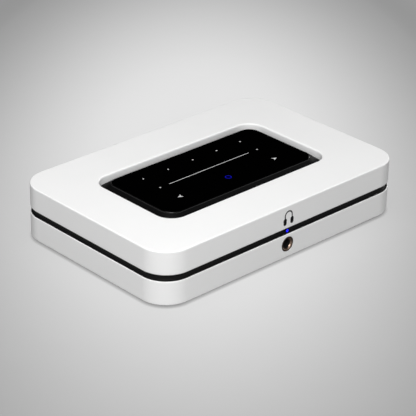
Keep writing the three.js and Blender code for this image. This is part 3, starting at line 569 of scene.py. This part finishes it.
def touch_glass():
    edge = 0.45
    stations = [glass_at(0.25, GLASS_TOP - GLASS_T), glass_at(0, GLASS_TOP - GLASS_T + 0.25)]
    stations += [glass_at(0, GLASS_TOP - edge)]
    stations += [glass_at(i, z) for i, z in arc_points(edge, GLASS_TOP - edge, edge, 180, 90, 5)]
    stations += [glass_at(edge + 0.3, GLASS_TOP)]
    return add_object("touch_glass_fine", skin(stations, closed=False, caps=True), 40)


def surround_rim():
    """Thin border along the glass, at the top of the slope and a little paler than it: partly the frame's
    own dark plastic, partly a painted highlight for the light along the glass's polished edge.
    """
    inner, outer, top = RISE_END - 0.05, RISE_END - 0.8, GLASS_TOP - 0.4
    radius = GLASS[2] + 0.3
    stations = [opening_at(outer, top - 0.9, radius + 0.6), opening_at(outer, top - 0.55, radius + 0.6),
                opening_at(inner - 0.2, top, radius + 0.2), opening_at(inner, top, radius),
                opening_at(inner, top - 0.9, radius)]
    return add_object("panel_surround_rim", skin(stations), 28)


dress(surround(), "surround", "housing", ["panel_surround"])
dress(surround_rim(), "rim", "housing", ())
dress(touch_glass(), "glass", "housing", ["touch_glass"])

PRINT_Z = GLASS_TOP + 0.01
PRINT_T = 0.03


def flat_disc(x, y, radius, inner=0.0, segments=40):
    top = PRINT_Z + PRINT_T
    profile = [(inner, PRINT_Z), (radius, PRINT_Z), (radius, top), (inner, top)]
    return lathe(profile, segments, along_z(x, y))


def flat_polygon(points):
    mesh = bmesh.new()
    low = [mesh.verts.new((x * MM, y * MM, PRINT_Z * MM)) for x, y in points]
    high = [mesh.verts.new((x * MM, y * MM, (PRINT_Z + PRINT_T) * MM)) for x, y in points]
    mesh.faces.new(list(reversed(low)))
    mesh.faces.new(high)
    for i in range(len(points)):
        j = (i + 1) % len(points)
        mesh.faces.new((low[i], low[j], high[j], high[i]))
    bmesh.ops.recalc_face_normals(mesh, faces=mesh.faces)
    return mesh


def arrowhead(tip, base, y, half, notch=0.25, soft=0.22, steps=4):
    """An arrowhead lying on the glass: its back is notched and its corners are rounded."""
    corners = [(tip, y), (base, y + half), (base + (tip - base) * notch, y), (base, y - half)]
    points = []
    for i, corner in enumerate(corners):
        c = Vector(corner)
        a = (Vector(corners[i - 1]) - c).normalized()
        b = (Vector(corners[(i + 1) % 4]) - c).normalized()
        for k in range(steps + 1):
            t = k / steps
            start, end = c + a * soft, c + b * soft
            points.append(tuple((1 - t) ** 2 * start + 2 * t * (1 - t) * c + t ** 2 * end))
    return points


SYMBOLS_X = -0.5
PRESET_PITCH, PRESET_Y = 22.5, 19.4
SLIDER_Y, SLIDER_HALF, SLIDER_DOT_X = 2.35, 36.9, 45.0
SKIP_Y, SKIP_BASE, SKIP_TIP = -16.0, 42.2, 45.9
SKIP_HALF = 1.75
RING_OUTER, RING_INNER = 2.3, 1.7
DOT_R = 0.6
LINE_WIDTH, LINE_CORNER = 0.48, 0.23


def add_symbol(name, mesh):
    dress(add_object(name, mesh), "print_white", "housing", ())


for i in range(5):
    add_symbol(f"preset_dot_{i + 1}", flat_disc(SYMBOLS_X + (i - 2) * PRESET_PITCH, PRESET_Y, DOT_R))
for side, sign in (("quieter", -1), ("louder", 1)):
    add_symbol(f"volume_dot_{side}", flat_disc(SYMBOLS_X + sign * SLIDER_DOT_X, SLIDER_Y, DOT_R))
line_outline = outline(2 * SLIDER_HALF, LINE_WIDTH, LINE_CORNER, 4, 0.05)
add_symbol("volume_line", flat_polygon([(u + SYMBOLS_X, v + SLIDER_Y) for u, v in line_outline]))
for side, sign in (("back", -1), ("forward", 1)):
    shape = arrowhead(SYMBOLS_X + sign * SKIP_TIP, SYMBOLS_X + sign * SKIP_BASE, SKIP_Y, SKIP_HALF)
    add_symbol(f"skip_{side}", flat_polygon(shape))
play_ring = add_object("play_ring", flat_disc(SYMBOLS_X, SKIP_Y, RING_OUTER, RING_INNER))
dress(play_ring, "ring_blue", "housing", ())


# ---------- front: generic headphones mark, status light, headphone socket ----------
def stroke_path(points, width, y0, y1):
    """A flat stroke of constant width on the front face, through (x, z) points in mm."""
    left, right = [], []
    for i, (x, z) in enumerate(points):
        xa, za = points[max(i - 1, 0)]
        xb, zb = points[min(i + 1, len(points) - 1)]
        length = math.hypot(xb - xa, zb - za)
        nx, nz = -(zb - za) / length * width / 2, (xb - xa) / length * width / 2
        left.append((x + nx, z + nz))
        right.append((x - nx, z - nz))
    return front_plate(left + right[::-1], y0, y1)


def front_plate(points, y0, y1):
    mesh = bmesh.new()
    near = [mesh.verts.new((x * MM, y0 * MM, z * MM)) for x, z in points]
    far = [mesh.verts.new((x * MM, y1 * MM, z * MM)) for x, z in points]
    mesh.faces.new(near)
    mesh.faces.new(far[::-1])
    for i in range(len(points)):
        j = (i + 1) % len(points)
        mesh.faces.new((near[i], far[i], far[j], near[j]))
    bmesh.ops.recalc_face_normals(mesh, faces=mesh.faces)
    return mesh


def headphones_mark():
    """A plain headphones pictogram in thin strokes: one band and two open ear cups."""
    y0, y1, width = -HALF_D - 0.03, -HALF_D + 0.02, 1.0
    crown_z, cup_z, radius = 32.6, 28.5, 3.2
    band = [(-radius, cup_z + 1.5), *arc_points(0, crown_z, radius, 180, 0, 20), (radius, cup_z + 1.5)]
    parts = [stroke_path(band, width, y0, y1)]
    for side in (-1, 1):
        cup = [(side * radius + u, cup_z + v) for u, v in outline(2.1, 4.2, 0.9, 5, 0.05)]
        parts.append(stroke_path(cup + cup[:2], width * 0.8, y0 - 0.005, y1))
    return add_object("headphones_mark", merge(*parts))


dress(headphones_mark(), "print_grey", "housing", ())

LIGHT_BACK = -66.6


def status_light():
    """The light pipe stands out of the groove: a black sleeve and a lit domed end."""
    end, dome, lit_r = LIGHT_FRONT + 0.4, 0.35, LIGHT_R - 0.12
    sleeve = [(0, end), (lit_r + 0.02, end), (LIGHT_R, end + 0.15), (LIGHT_R, LIGHT_BACK),
              (0, LIGHT_BACK)]
    profile = [(0, LIGHT_FRONT)]
    for angle in (20, 40, 60, 75, 90):
        a = math.radians(angle)
        profile.append((lit_r * math.sin(a), LIGHT_FRONT + dome * (1 - math.cos(a))))
    profile += [(lit_r, end + 0.02), (0, end + 0.02)]
    tube = add_object("status_light_sleeve", lathe(sleeve, 40, along_y(0, LED_Z)))
    dress(tube, "band", "housing", ["status_light_pipe"])
    lens = add_object("status_light_dome", lathe(profile, 40, along_y(0, LED_Z)))
    dress(lens, "status_blue", "housing", ())


status_light()

# The socket's ring in two tones of one bronze: a dark flat rim, and a countersink that runs into the bore
# in a paler copy of the bronze, a painted highlight for the light its inner wall catches.
JACK_BORE, JACK_R, JACK_SINK_R, JACK_SINK = 3.25, 5.3, 4.4, 0.9
JACK_FACE = -HALF_D + 0.05
JACK_RIM_BACK, JACK_SLEEVE_BACK = -70.5, -70.25
BARREL_Y, BARREL_HALF = (-70.2, -36), (7.5, 6.5)
BARREL_BORE_Y = (-72, -38)


def jack_rim():
    soft = 0.3
    profile = [(JACK_SINK_R, JACK_RIM_BACK), (JACK_R, JACK_RIM_BACK), (JACK_R, JACK_FACE + soft)]
    profile += arc_points(JACK_R - soft, JACK_FACE + soft, soft, 0, -90, 4)[1:]
    profile += [(JACK_SINK_R + 0.1, JACK_FACE), (JACK_SINK_R, JACK_FACE + 0.1)]
    return add_object("jack_ring_fine", lathe(profile, 72, along_y(0, JACK_Z)), 50)


def jack_countersink():
    inner, outer = JACK_BORE, JACK_SINK_R - 0.01
    start, end = JACK_FACE + 0.15, JACK_FACE + 0.15 + JACK_SINK
    profile = [(outer + (inner - outer) * t, start + (end - start) * t ** 1.6)
               for t in (0, 0.2, 0.4, 0.6, 0.8, 1.0)]
    profile += [(inner + 0.2, end + 0.1), (outer, end + 0.1)]
    return add_object("jack_countersink", lathe(profile, 72, along_y(0, JACK_Z)), 50)


def jack_bore():
    start, end = JACK_FACE + 0.1 + JACK_SINK, JACK_SLEEVE_BACK
    outer = JACK_SINK_R - 0.05
    sleeve = [(JACK_BORE, start), (JACK_BORE, end), (outer, end), (outer, start + 0.2)]
    return add_object("jack_bore_sleeve", lathe(sleeve, 72, along_y(0, JACK_Z)), 50)


dress(jack_rim(), "bronze", "housing", ["jack_ring"])
dress(jack_bore(), "socket", "housing", ())
# The countersink's paler metal is a painted highlight.
dress(jack_countersink(), "painted_highlight_bronze", "housing", ())
barrel_block = block(-BARREL_HALF[0], BARREL_HALF[0], *BARREL_Y, JACK_Z - BARREL_HALF[1],
                     JACK_Z + BARREL_HALF[1], 0.5)
barrel = add_object("headphone_barrel_fine", barrel_block)
carve(barrel, rod_y(0, JACK_Z, JACK_BORE, *BARREL_BORE_Y, 64))
dress(barrel, "socket", "housing", ["headphone_jack"])

# ---------- rear bay ----------
PANEL_BACK = 62
PANEL_RIM = 1.5
HOLE_Y = (60, 66)
INLET_BODY = (10, 6.6, 46)
INLET_NOSE = (17, 10.8, 0.9)
INLET_MOUTH = (14.8, 7.8, 3.5)
INLET_FLOOR = 53
RCA = {"left": (80, "ivory"), "right": (66.5, "red"), "sub": (53, "violet"), "coax": (39.5, "orange")}
SMALL_Z = PART_Z0 + 4.5


def rear_panel():
    """A black tray in the rear window; every connector's nose stands in a hole of its own."""
    x, z0, z1 = WINDOW_X - 0.3, WINDOW_Z[0] + 0.3, WINDOW_Z[1] - 0.3
    middle, height = (z0 + z1) / 2, z1 - z0
    tray = slot_y(0, middle, 2 * x, height, PANEL_BACK, HALF_D - 1.4, 0.4, 4)
    panel = add_object("rear_panel_fine", tray)
    bay = slot_y(0, middle, 2 * (x - PANEL_RIM), height - 2 * PANEL_RIM, BAY_FACE, HALF_D + 1, 1.2, 6)
    carve(panel, bay)
    holes = [slot_y(*INLET, 17.6, 11.4, *HOLE_Y, 1.2)]
    holes += [rod_y(rca_x, RCA_Z, RCA_R + 0.3, *HOLE_Y, 56) for rca_x, _ in RCA.values()]
    holes.append(slot_y(*OPTICAL, 11.2, 11.2, *HOLE_Y, 0.6))
    holes.append(slot_y(HDMI_X, PART_Z0 + 3, 15.8, 6.6, *HOLE_Y, 0.6))
    holes.append(slot_y(USB_X, PART_Z0 + 3.5, 15.0, 7.6, *HOLE_Y, 0.5))
    holes.append(slot_y(LAN_X, PART_Z0 + 6.7, 16.6, 14.0, *HOLE_Y, 0.5))
    holes += [rod_y(small_x, SMALL_Z, 4.1, *HOLE_Y, 48) for small_x in SMALL_X.values()]
    holes.append(rod_y(BUTTON[0], BUTTON[1], BUTTON[2] + 0.3, *HOLE_Y, 40))
    return carve(panel, *holes, bevel=0.18, smooth_angle=40)


dress(rear_panel(), "bay", "housing", ["rear_panel"])


def mains_inlet():
    x, z = INLET
    half_w, half_h, back = INLET_BODY
    nose_w, nose_h, nose_corner = INLET_NOSE
    mouth_w, mouth_h, mouth_corner = INLET_MOUTH
    body = add_object("mains_inlet_fine",
                      block(x - half_w, x + half_w, back, SOCKET_FRONT, z - half_h, z + half_h, 0.3))
    nose = add_object("mains_inlet_nose",
                      slot_y(x, z, nose_w, nose_h, SOCKET_FRONT, NOSE_FRONT + 0.4, nose_corner))
    carve(body, slot_y(x, z, mouth_w, mouth_h, INLET_FLOOR, NOSE_FRONT + 2, mouth_corner))
    carve(nose, slot_y(x, z, mouth_w, mouth_h, INLET_FLOOR, NOSE_FRONT + 2, mouth_corner), bevel=0.35,
          smooth_angle=40)
    dress(nose, "socket", "housing", ())
    dress(body, "socket", "housing", ["mains_inlet"])


mains_inlet()

PIN_BACK, PIN_R, PIN_TIP = 42, 1.2, 63.2
PIN_OFFSET = 4.3
for pole, dx in (("line", -PIN_OFFSET), ("neutral", PIN_OFFSET)):
    profile = [(0, PIN_BACK), (PIN_R, PIN_BACK), (PIN_R, 62.0), (1.1, 62.6), (0.75, 63.1), (0, PIN_TIP)]
    pin = add_object(f"inlet_pin_{pole}_fine", lathe(profile, 32, along_y(INLET[0] + dx, INLET[1])))
    dress(pin, "nickel", "housing", [f"inlet_pin_{pole}"])


def phono_socket(channel, x, colour):
    """A nickel barrel with a coloured insert and collar, and a sprung centre contact."""
    place = along_y(x, RCA_Z)
    r, tip = RCA_R, RCA_TIP
    shell = [(3.45, 62.4), (3.45, tip - 0.15), (3.6, tip), (r - 0.35, tip), (r - 0.05, tip - 0.3),
             (r - 0.05, 66.8), (r, 66.6), (r, 62.4)]
    insert = [(1.6, 62.0), (1.6, tip - 1.3), (1.9, tip - 0.9), (3.2, tip - 0.9), (3.4, tip - 1.1),
              (3.4, 62.0)]
    collar = [(r + 0.05, BAY_FACE + 0.05), (r + 0.05, BAY_FACE + 0.9), (5.3, BAY_FACE + 0.9),
              (5.7, BAY_FACE + 0.5), (5.7, BAY_FACE + 0.05)]
    contact = [(1.0, 62.0), (1.0, tip - 3.0), (1.45, tip - 3.0), (1.45, 62.0)]
    dress(add_object(f"rca_{channel}_fine", lathe(shell, 56, place), 40),
          "nickel", "housing", [f"rca_{channel}"])
    dress(add_object(f"rca_{channel}_insert", lathe(insert, 56, place), 40),
          colour, "housing", ())
    dress(add_object(f"rca_{channel}_collar", lathe(collar, 64, place), 30),
          colour, "housing", ())
    dress(add_object(f"rca_{channel}_contact", lathe(contact, 32, place), 30),
          "gold", "housing", ())


for channel, (rca_x, colour) in RCA.items():
    phono_socket(channel, rca_x, colour)


OPTICAL_PIVOT = (63.6, 21.1)


def optical():
    """The optical socket and its flap, which hangs on a pin across the top of the mouth."""
    x, z = OPTICAL
    body = block(x - 7, x + 7, 48, SOCKET_FRONT, PART_Z0, PART_Z0 + 12, 0.3)
    socket = add_object("optical_socket_fine", body)
    carve(socket, block(x - 4.2, x + 4.2, 51, NOSE_FRONT + 1, z - 4.2, z + 4.2))
    nose = add_object("optical_nose", slot_y(x, z, 10.6, 10.6, SOCKET_FRONT, NOSE_FRONT, 0.5))
    mouth = slot_y(x, z, 8.4, 8.4, 50, NOSE_FRONT + 1, 0.3)
    carve(nose, mouth, bevel=0.2, smooth_angle=40)
    dress(nose, "socket", "housing", ())
    dress(socket, "socket", "housing", ["optical_socket"])
    pivot_y, pivot_z = OPTICAL_PIVOT
    flap = merge(block(x - 3.9, x + 3.9, pivot_y - 0.4, pivot_y + 0.4, z - 3.85, pivot_z, 0.15),
                 block(x - 2.2, x + 2.2, pivot_y + 0.38, pivot_y + 0.6, z - 2.2, z + 1.2, 0.1),
                 lathe([(0, x - 4.1), (0.45, x - 4.1), (0.45, x + 4.1), (0, x + 4.1)], 24,
                       lambda a, b, h: (h, pivot_y + a, pivot_z + b)))
    shutter = add_object("optical_shutter_fine", flap)
    dress(shutter, "socket", "shutter", ["optical_shutter"])


optical()


def shell_socket(name, node, cx, width, height, back, corner, wall, tongue, pads):
    """A drawn steel shell: tongue is (half width, low, high) and pads are (count, pitch, size, under)."""
    z = PART_Z0 + height / 2
    shell = add_object(f"{name}_shell", slot_y(cx, z, width, height, back, NOSE_FRONT, corner))
    hollow = slot_y(cx, z, width - 2 * wall, height - 2 * wall, back + 4, NOSE_FRONT + 1,
                    max(0.15, corner - wall))
    carve(shell, hollow, bevel=0.08, smooth_angle=40)
    dress(shell, "steel", "housing", [node])
    half, za, zb = tongue
    blade = block(cx - half, cx + half, back + 3, NOSE_FRONT - 1.2, PART_Z0 + za, PART_Z0 + zb, 0.15)
    dress(add_object(f"{name}_tongue", blade), "socket", "housing", ())
    count, pitch, size, under = pads
    strips = []
    zc = PART_Z0 + (za if under else zb)
    for i in range(count):
        px = cx + (i - (count - 1) / 2) * pitch
        strips.append(block(px - size / 2, px + size / 2, back + 5, NOSE_FRONT - 1.6, zc - 0.06, zc + 0.06))
    dress(add_object(f"{name}_contacts", merge(*strips)), "gold", "housing", ())


shell_socket("hdmi", "hdmi_socket", HDMI_X, 15.2, 6.0, 50, 0.9, 0.45, (5.5, 2.5, 3.5), (9, 1.1, 0.5, False))
shell_socket("usb", "usb_socket", USB_X, 14.4, 7.0, 48, 0.5, 0.5, (5.5, 3.9, 5.5), (4, 2.4, 1.1, True))


def ethernet():
    z = PART_Z0
    body = add_object("ethernet_shell", block(LAN_X - 8, LAN_X + 8, 44, NOSE_FRONT, z, z + 13.4, 0.35))
    mouth = block(LAN_X - 5.9, LAN_X + 5.9, 50, NOSE_FRONT + 1, z + 3.8, z + 11.2)
    latch = block(LAN_X - 3.1, LAN_X + 3.1, 53, NOSE_FRONT + 1, z + 1.2, z + 4)
    carve(body, mouth, smooth_angle=40)
    carve(body, latch, bevel=0.12, smooth_angle=40)
    dress(body, "steel", "housing", ["ethernet_socket"])
    liner_block = block(LAN_X - 5.88, LAN_X + 5.88, 50.2, NOSE_FRONT - 0.6, z + 3.82, z + 11.18)
    liner = add_object("ethernet_liner", liner_block)
    carve(liner, block(LAN_X - 5.5, LAN_X + 5.5, 52, NOSE_FRONT + 1, z + 3, z + 10.8))
    dress(liner, "socket", "housing", ())
    wires = []
    for i in range(8):
        px = LAN_X + (i - 3.5) * 1.15
        wires.append(block(px - 0.22, px + 0.22, 53, NOSE_FRONT - 2.2, z + 9.9, z + 10.3, 0.08))
    dress(add_object("ethernet_contacts", merge(*wires)), "gold", "housing", ())
    for side, colour in ((-1, "green_lamp"), (1, "amber_lamp")):
        cx = LAN_X + side * 5.6
        lamp = block(cx - 1.3, cx + 1.3, NOSE_FRONT - 0.3, NOSE_FRONT + 0.12, z + 1.1, z + 2.7, 0.12)
        dress(add_object(f"ethernet_{colour}", lamp), colour, "housing", ())


ethernet()


def small_socket(name, x):
    """A 3.5 mm socket: black body and nose with a nickel lining."""
    place = along_y(x, SMALL_Z)
    body = add_object(f"{name}_body", block(x - 4.5, x + 4.5, 48, SOCKET_FRONT, PART_Z0, PART_Z0 + 9, 0.3))
    carve(body, rod_y(x, SMALL_Z, 1.85, 50, 70, 40))
    dress(body, "socket", "housing", [name])
    nose = [(1.85, SOCKET_FRONT), (1.85, NOSE_FRONT - 0.4), (2.25, NOSE_FRONT), (3.4, NOSE_FRONT),
            (3.8, NOSE_FRONT - 0.4), (3.8, SOCKET_FRONT)]
    dress(add_object(f"{name}_nose", lathe(nose, 56, place), 40), "socket", "housing", ())
    lining = [(1.55, SOCKET_FRONT - 4), (1.55, NOSE_FRONT - 1.0), (1.83, NOSE_FRONT - 1.0),
              (1.83, SOCKET_FRONT - 4)]
    dress(add_object(f"{name}_lining", lathe(lining, 40, place), 40), "nickel", "housing", ())


for name, small_x in SMALL_X.items():
    small_socket(name, small_x)


def setup_button():
    """A rubber button with a retaining flange, a rounded edge and a slightly dished face."""
    x, z, r = BUTTON
    stem_r, stem_end, flange_r, flange_back, soft = 1.2, 57.6, 3.2, SOCKET_FRONT - 0.8, 0.45
    profile = [(0, stem_end), (stem_r, stem_end), (stem_r, flange_back), (flange_r, flange_back),
               (flange_r, SOCKET_FRONT), (r, SOCKET_FRONT), (r, NOSE_FRONT - soft)]
    profile += arc_points(r - soft, NOSE_FRONT - soft, soft, 0, 90, 3)[1:]
    profile += [(1.2, NOSE_FRONT - 0.02), (0.8, NOSE_FRONT - 0.12), (0, NOSE_FRONT - 0.15)]
    return add_object("setup_button_fine", lathe(profile, 48, along_y(x, z)), 40)


dress(setup_button(), "rubber", "button", ["setup_button"])

# ---------- feet ----------
for i, (x, y) in enumerate(FEET):
    r = FOOT_R
    profile = [(0, 0.12), (r - 2.2, 0.12), (r - 1.8, 0), (r - 0.8, 0)]
    profile += arc_points(r - 0.8, 0.8, 0.8, -90, 0, 5)[1:] + [(r, 1.9), (0, 1.9)]
    foot = add_object(f"foot_{i + 1}_fine", lathe(profile, 56, along_z(x, y)), 40)
    dress(foot, "rubber", "housing", [f"foot_{i + 1}"])

# ---------- carried-over CAD nodes ----------
CARRIED = {
    "steel": ["chassis_tray", "sensor_backplate", "wireless_module",
              *[f"base_screw_{i}" for i in range(1, 5)]],
    "board": ["touch_sensor_board", "front_board", "main_board", "power_board"],
    "socket": ["rca_block_analog", "rca_block_digital"],
    "chip": ["processor", "setup_switch"],
    "aluminium": ["processor_heatsink"],
    "brass": ["jack_tip_spring"],
    "film": ["status_led", "insulation_barrier", "fuse"],
    "flex": ["sensor_ribbon", "front_ribbon", "antenna"],
    "rubber": ["antenna_lead"],
    "grey_sleeve": ["dc_harness"],
    "brown_sleeve": ["mains_lead_line"],
    "blue_sleeve": ["mains_lead_neutral"],
    "tape": ["transformer"],
    "shrink": ["bulk_capacitor"],
    "copper": ["line_choke"],
}
for material, names in CARRIED.items():
    for name in names:
        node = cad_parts[name]
        node.data.materials.clear()
        node.data.materials.append(MAT[material])


# ---------- stage, light ----------
# The painted pool of light is fixed on the floor. It lies along the main line of sight and doesn't follow
# other views.
POOL_CENTRE = (-0.0076, 0.1005)
POOL_HALF = (0.262, 0.590)
PAPER_FAR = 0.28
POOL_STOPS = ((0.0, 0.701), (0.35, 0.645), (0.78, PAPER_FAR), (1.0, PAPER_FAR))


def grey_ramp(tree, stops):
    """A ramp through (position, grey) stops; the first is at 0 and the last keeps its grey to 1."""
    ramp = tree.nodes.new("ShaderNodeValToRGB")
    elements = ramp.color_ramp.elements
    elements[1].position = stops[-1][0]
    for position, _ in stops[1:-1]:
        elements.new(position)
    for element, (_, value) in zip(elements, stops):
        element.color = (value, value, value, 1)
    return ramp


def painted_pool_of_light(tree):
    """Painted pool of light on the paper: a soft glowing ellipse round the object, longer along the main
    line of sight.
    """
    where = tree.nodes.new("ShaderNodeTexCoord")
    mapping = tree.nodes.new("ShaderNodeMapping")
    mapping.vector_type = "TEXTURE"
    across, away = POOL_CENTRE
    cos, sin = math.cos(VIEW_AZIMUTH), math.sin(VIEW_AZIMUTH)
    mapping.inputs["Location"].default_value = (across * cos - away * sin, across * sin + away * cos, 0)
    mapping.inputs["Rotation"].default_value = (0, 0, VIEW_AZIMUTH)
    mapping.inputs["Scale"].default_value = (*POOL_HALF, 1)
    radius = tree.nodes.new("ShaderNodeVectorMath")
    radius.operation = "LENGTH"
    link(tree, where.outputs["Object"], mapping.inputs["Vector"])
    link(tree, mapping.outputs["Vector"], radius.inputs[0])
    ramp = grey_ramp(tree, POOL_STOPS)
    ramp.color_ramp.interpolation = "CARDINAL"
    link(tree, radius.outputs["Value"], ramp.inputs["Fac"])
    return ramp.outputs["Color"]


FLOOR_WHITE = 0.08
# Painted shade under the object: the paper's glow falls to GAP_SHADE where it is fully occluded within
# GAP_REACH.
GAP_SHADE = 0.25
GAP_REACH = 0.0025


def make_floor_material():
    """Pale paper that glows with the painted pool of light; ambient occlusion darkens the glow into a
    painted shade in the thin gap under the object.
    """
    material = make_material("studio_paper", (FLOOR_WHITE,) * 3, 0.9, tone=0.02, grain=0.8, bump=0.02,
                             specular=0.0)
    tree = material.node_tree
    shader = tree.nodes["Principled BSDF"]
    near = tree.nodes.new("ShaderNodeAmbientOcclusion")
    near.samples = 8
    near.inputs["Distance"].default_value = GAP_REACH
    shade = tree.nodes.new("ShaderNodeMapRange")
    shade.inputs["To Min"].default_value = GAP_SHADE
    link(tree, near.outputs["AO"], shade.inputs["Value"])
    link(tree, painted_pool_of_light(tree), shader.inputs["Emission Color"])
    link(tree, shade.outputs["Result"], shader.inputs["Emission Strength"])
    return material


def add_stage():
    floor_mesh = bmesh.new()
    bmesh.ops.create_grid(floor_mesh, x_segments=2, y_segments=2, size=6.0)
    floor = add_object("studio_floor", floor_mesh)
    floor.data.materials.append(make_floor_material())
    floor.visible_diffuse = False
    floor.visible_glossy = False


def area_light(name, location, size, brightness):
    """A square softbox aimed at the object; brightness is what a white face looking at it would show."""
    distance = Vector(location).length
    data = bpy.data.lights.new(name, "AREA")
    data.shape = "SQUARE"
    data.size = size
    data.energy = brightness * (math.pi * distance) ** 2 / WHITE
    light = bpy.data.objects.new(name, data)
    light.location = location
    light.rotation_euler = (-Vector(location)).to_track_quat("-Z", "Y").to_euler()
    light.visible_camera = False
    bpy.context.scene.collection.objects.link(light)
    return light


def from_angles(azimuth, elevation, distance):
    a, e = math.radians(azimuth), math.radians(elevation)
    return (distance * math.sin(a) * math.cos(e), -distance * math.cos(a) * math.cos(e),
            distance * math.sin(e))


# World stops: 0 is straight down, 0.5 is level and 1 is straight up.
HORIZON = PAPER_FAR + 0.015
SURROUND_STOPS = ((0.0, 0.1), (0.2, 0.1), (0.28, 0.28), (0.46, 0.28), (0.488, HORIZON), (0.55, HORIZON),
                  (0.6, 0.0), (0.87, 0.0), (0.95, 0.1))
CURTAIN = 1.0
CURTAIN_STOPS = ((0.0, 0.0), (0.56, 0.0), (0.61, CURTAIN), (0.8, CURTAIN), (0.86, 0.0))
CURTAIN_SIDE = (-0.77, -0.638, 0.0)
CURTAIN_FADE = (0.0, 0.4)


def math_node(tree, operation, first, second):
    node = tree.nodes.new("ShaderNodeMath")
    node.operation = operation
    link(tree, first, node.inputs[0])
    link(tree, second, node.inputs[1])
    return node.outputs["Value"]


def add_world():
    """Grey below and dark above, so that glass stays black, with a bright curtain to the front left."""
    world = bpy.data.worlds.new("studio")
    world.use_nodes = True
    tree = world.node_tree
    where = tree.nodes.new("ShaderNodeTexCoord")
    split = tree.nodes.new("ShaderNodeSeparateXYZ")
    height = tree.nodes.new("ShaderNodeMapRange")
    height.inputs["From Min"].default_value = -1.0
    surround_ramp = grey_ramp(tree, SURROUND_STOPS)
    curtain_ramp = grey_ramp(tree, CURTAIN_STOPS)
    towards = tree.nodes.new("ShaderNodeVectorMath")
    towards.operation = "DOT_PRODUCT"
    towards.inputs[1].default_value = CURTAIN_SIDE
    share = tree.nodes.new("ShaderNodeMapRange")
    share.inputs["From Min"].default_value = CURTAIN_FADE[0]
    share.inputs["From Max"].default_value = CURTAIN_FADE[1]
    link(tree, where.outputs["Generated"], split.inputs["Vector"])
    link(tree, split.outputs["Z"], height.inputs["Value"])
    link(tree, height.outputs["Result"], surround_ramp.inputs["Fac"])
    link(tree, height.outputs["Result"], curtain_ramp.inputs["Fac"])
    link(tree, where.outputs["Generated"], towards.inputs[0])
    link(tree, towards.outputs["Value"], share.inputs["Value"])
    curtain = math_node(tree, "MULTIPLY", curtain_ramp.outputs["Color"], share.outputs["Result"])
    total = math_node(tree, "ADD", surround_ramp.outputs["Color"], curtain)
    link(tree, total, tree.nodes["Background"].inputs["Color"])
    bpy.context.scene.world = world


add_stage()
add_world()
area_light("key", from_angles(-44, 37, 0.8), 0.4, 0.46)
area_light("overhead", (-0.19, -0.04, 0.91), 0.8, 0.54)
area_light("side_fill", from_angles(96, 14, 1.3), 0.4, 0.25)
bpy.context.scene.view_settings.view_transform = "Standard"
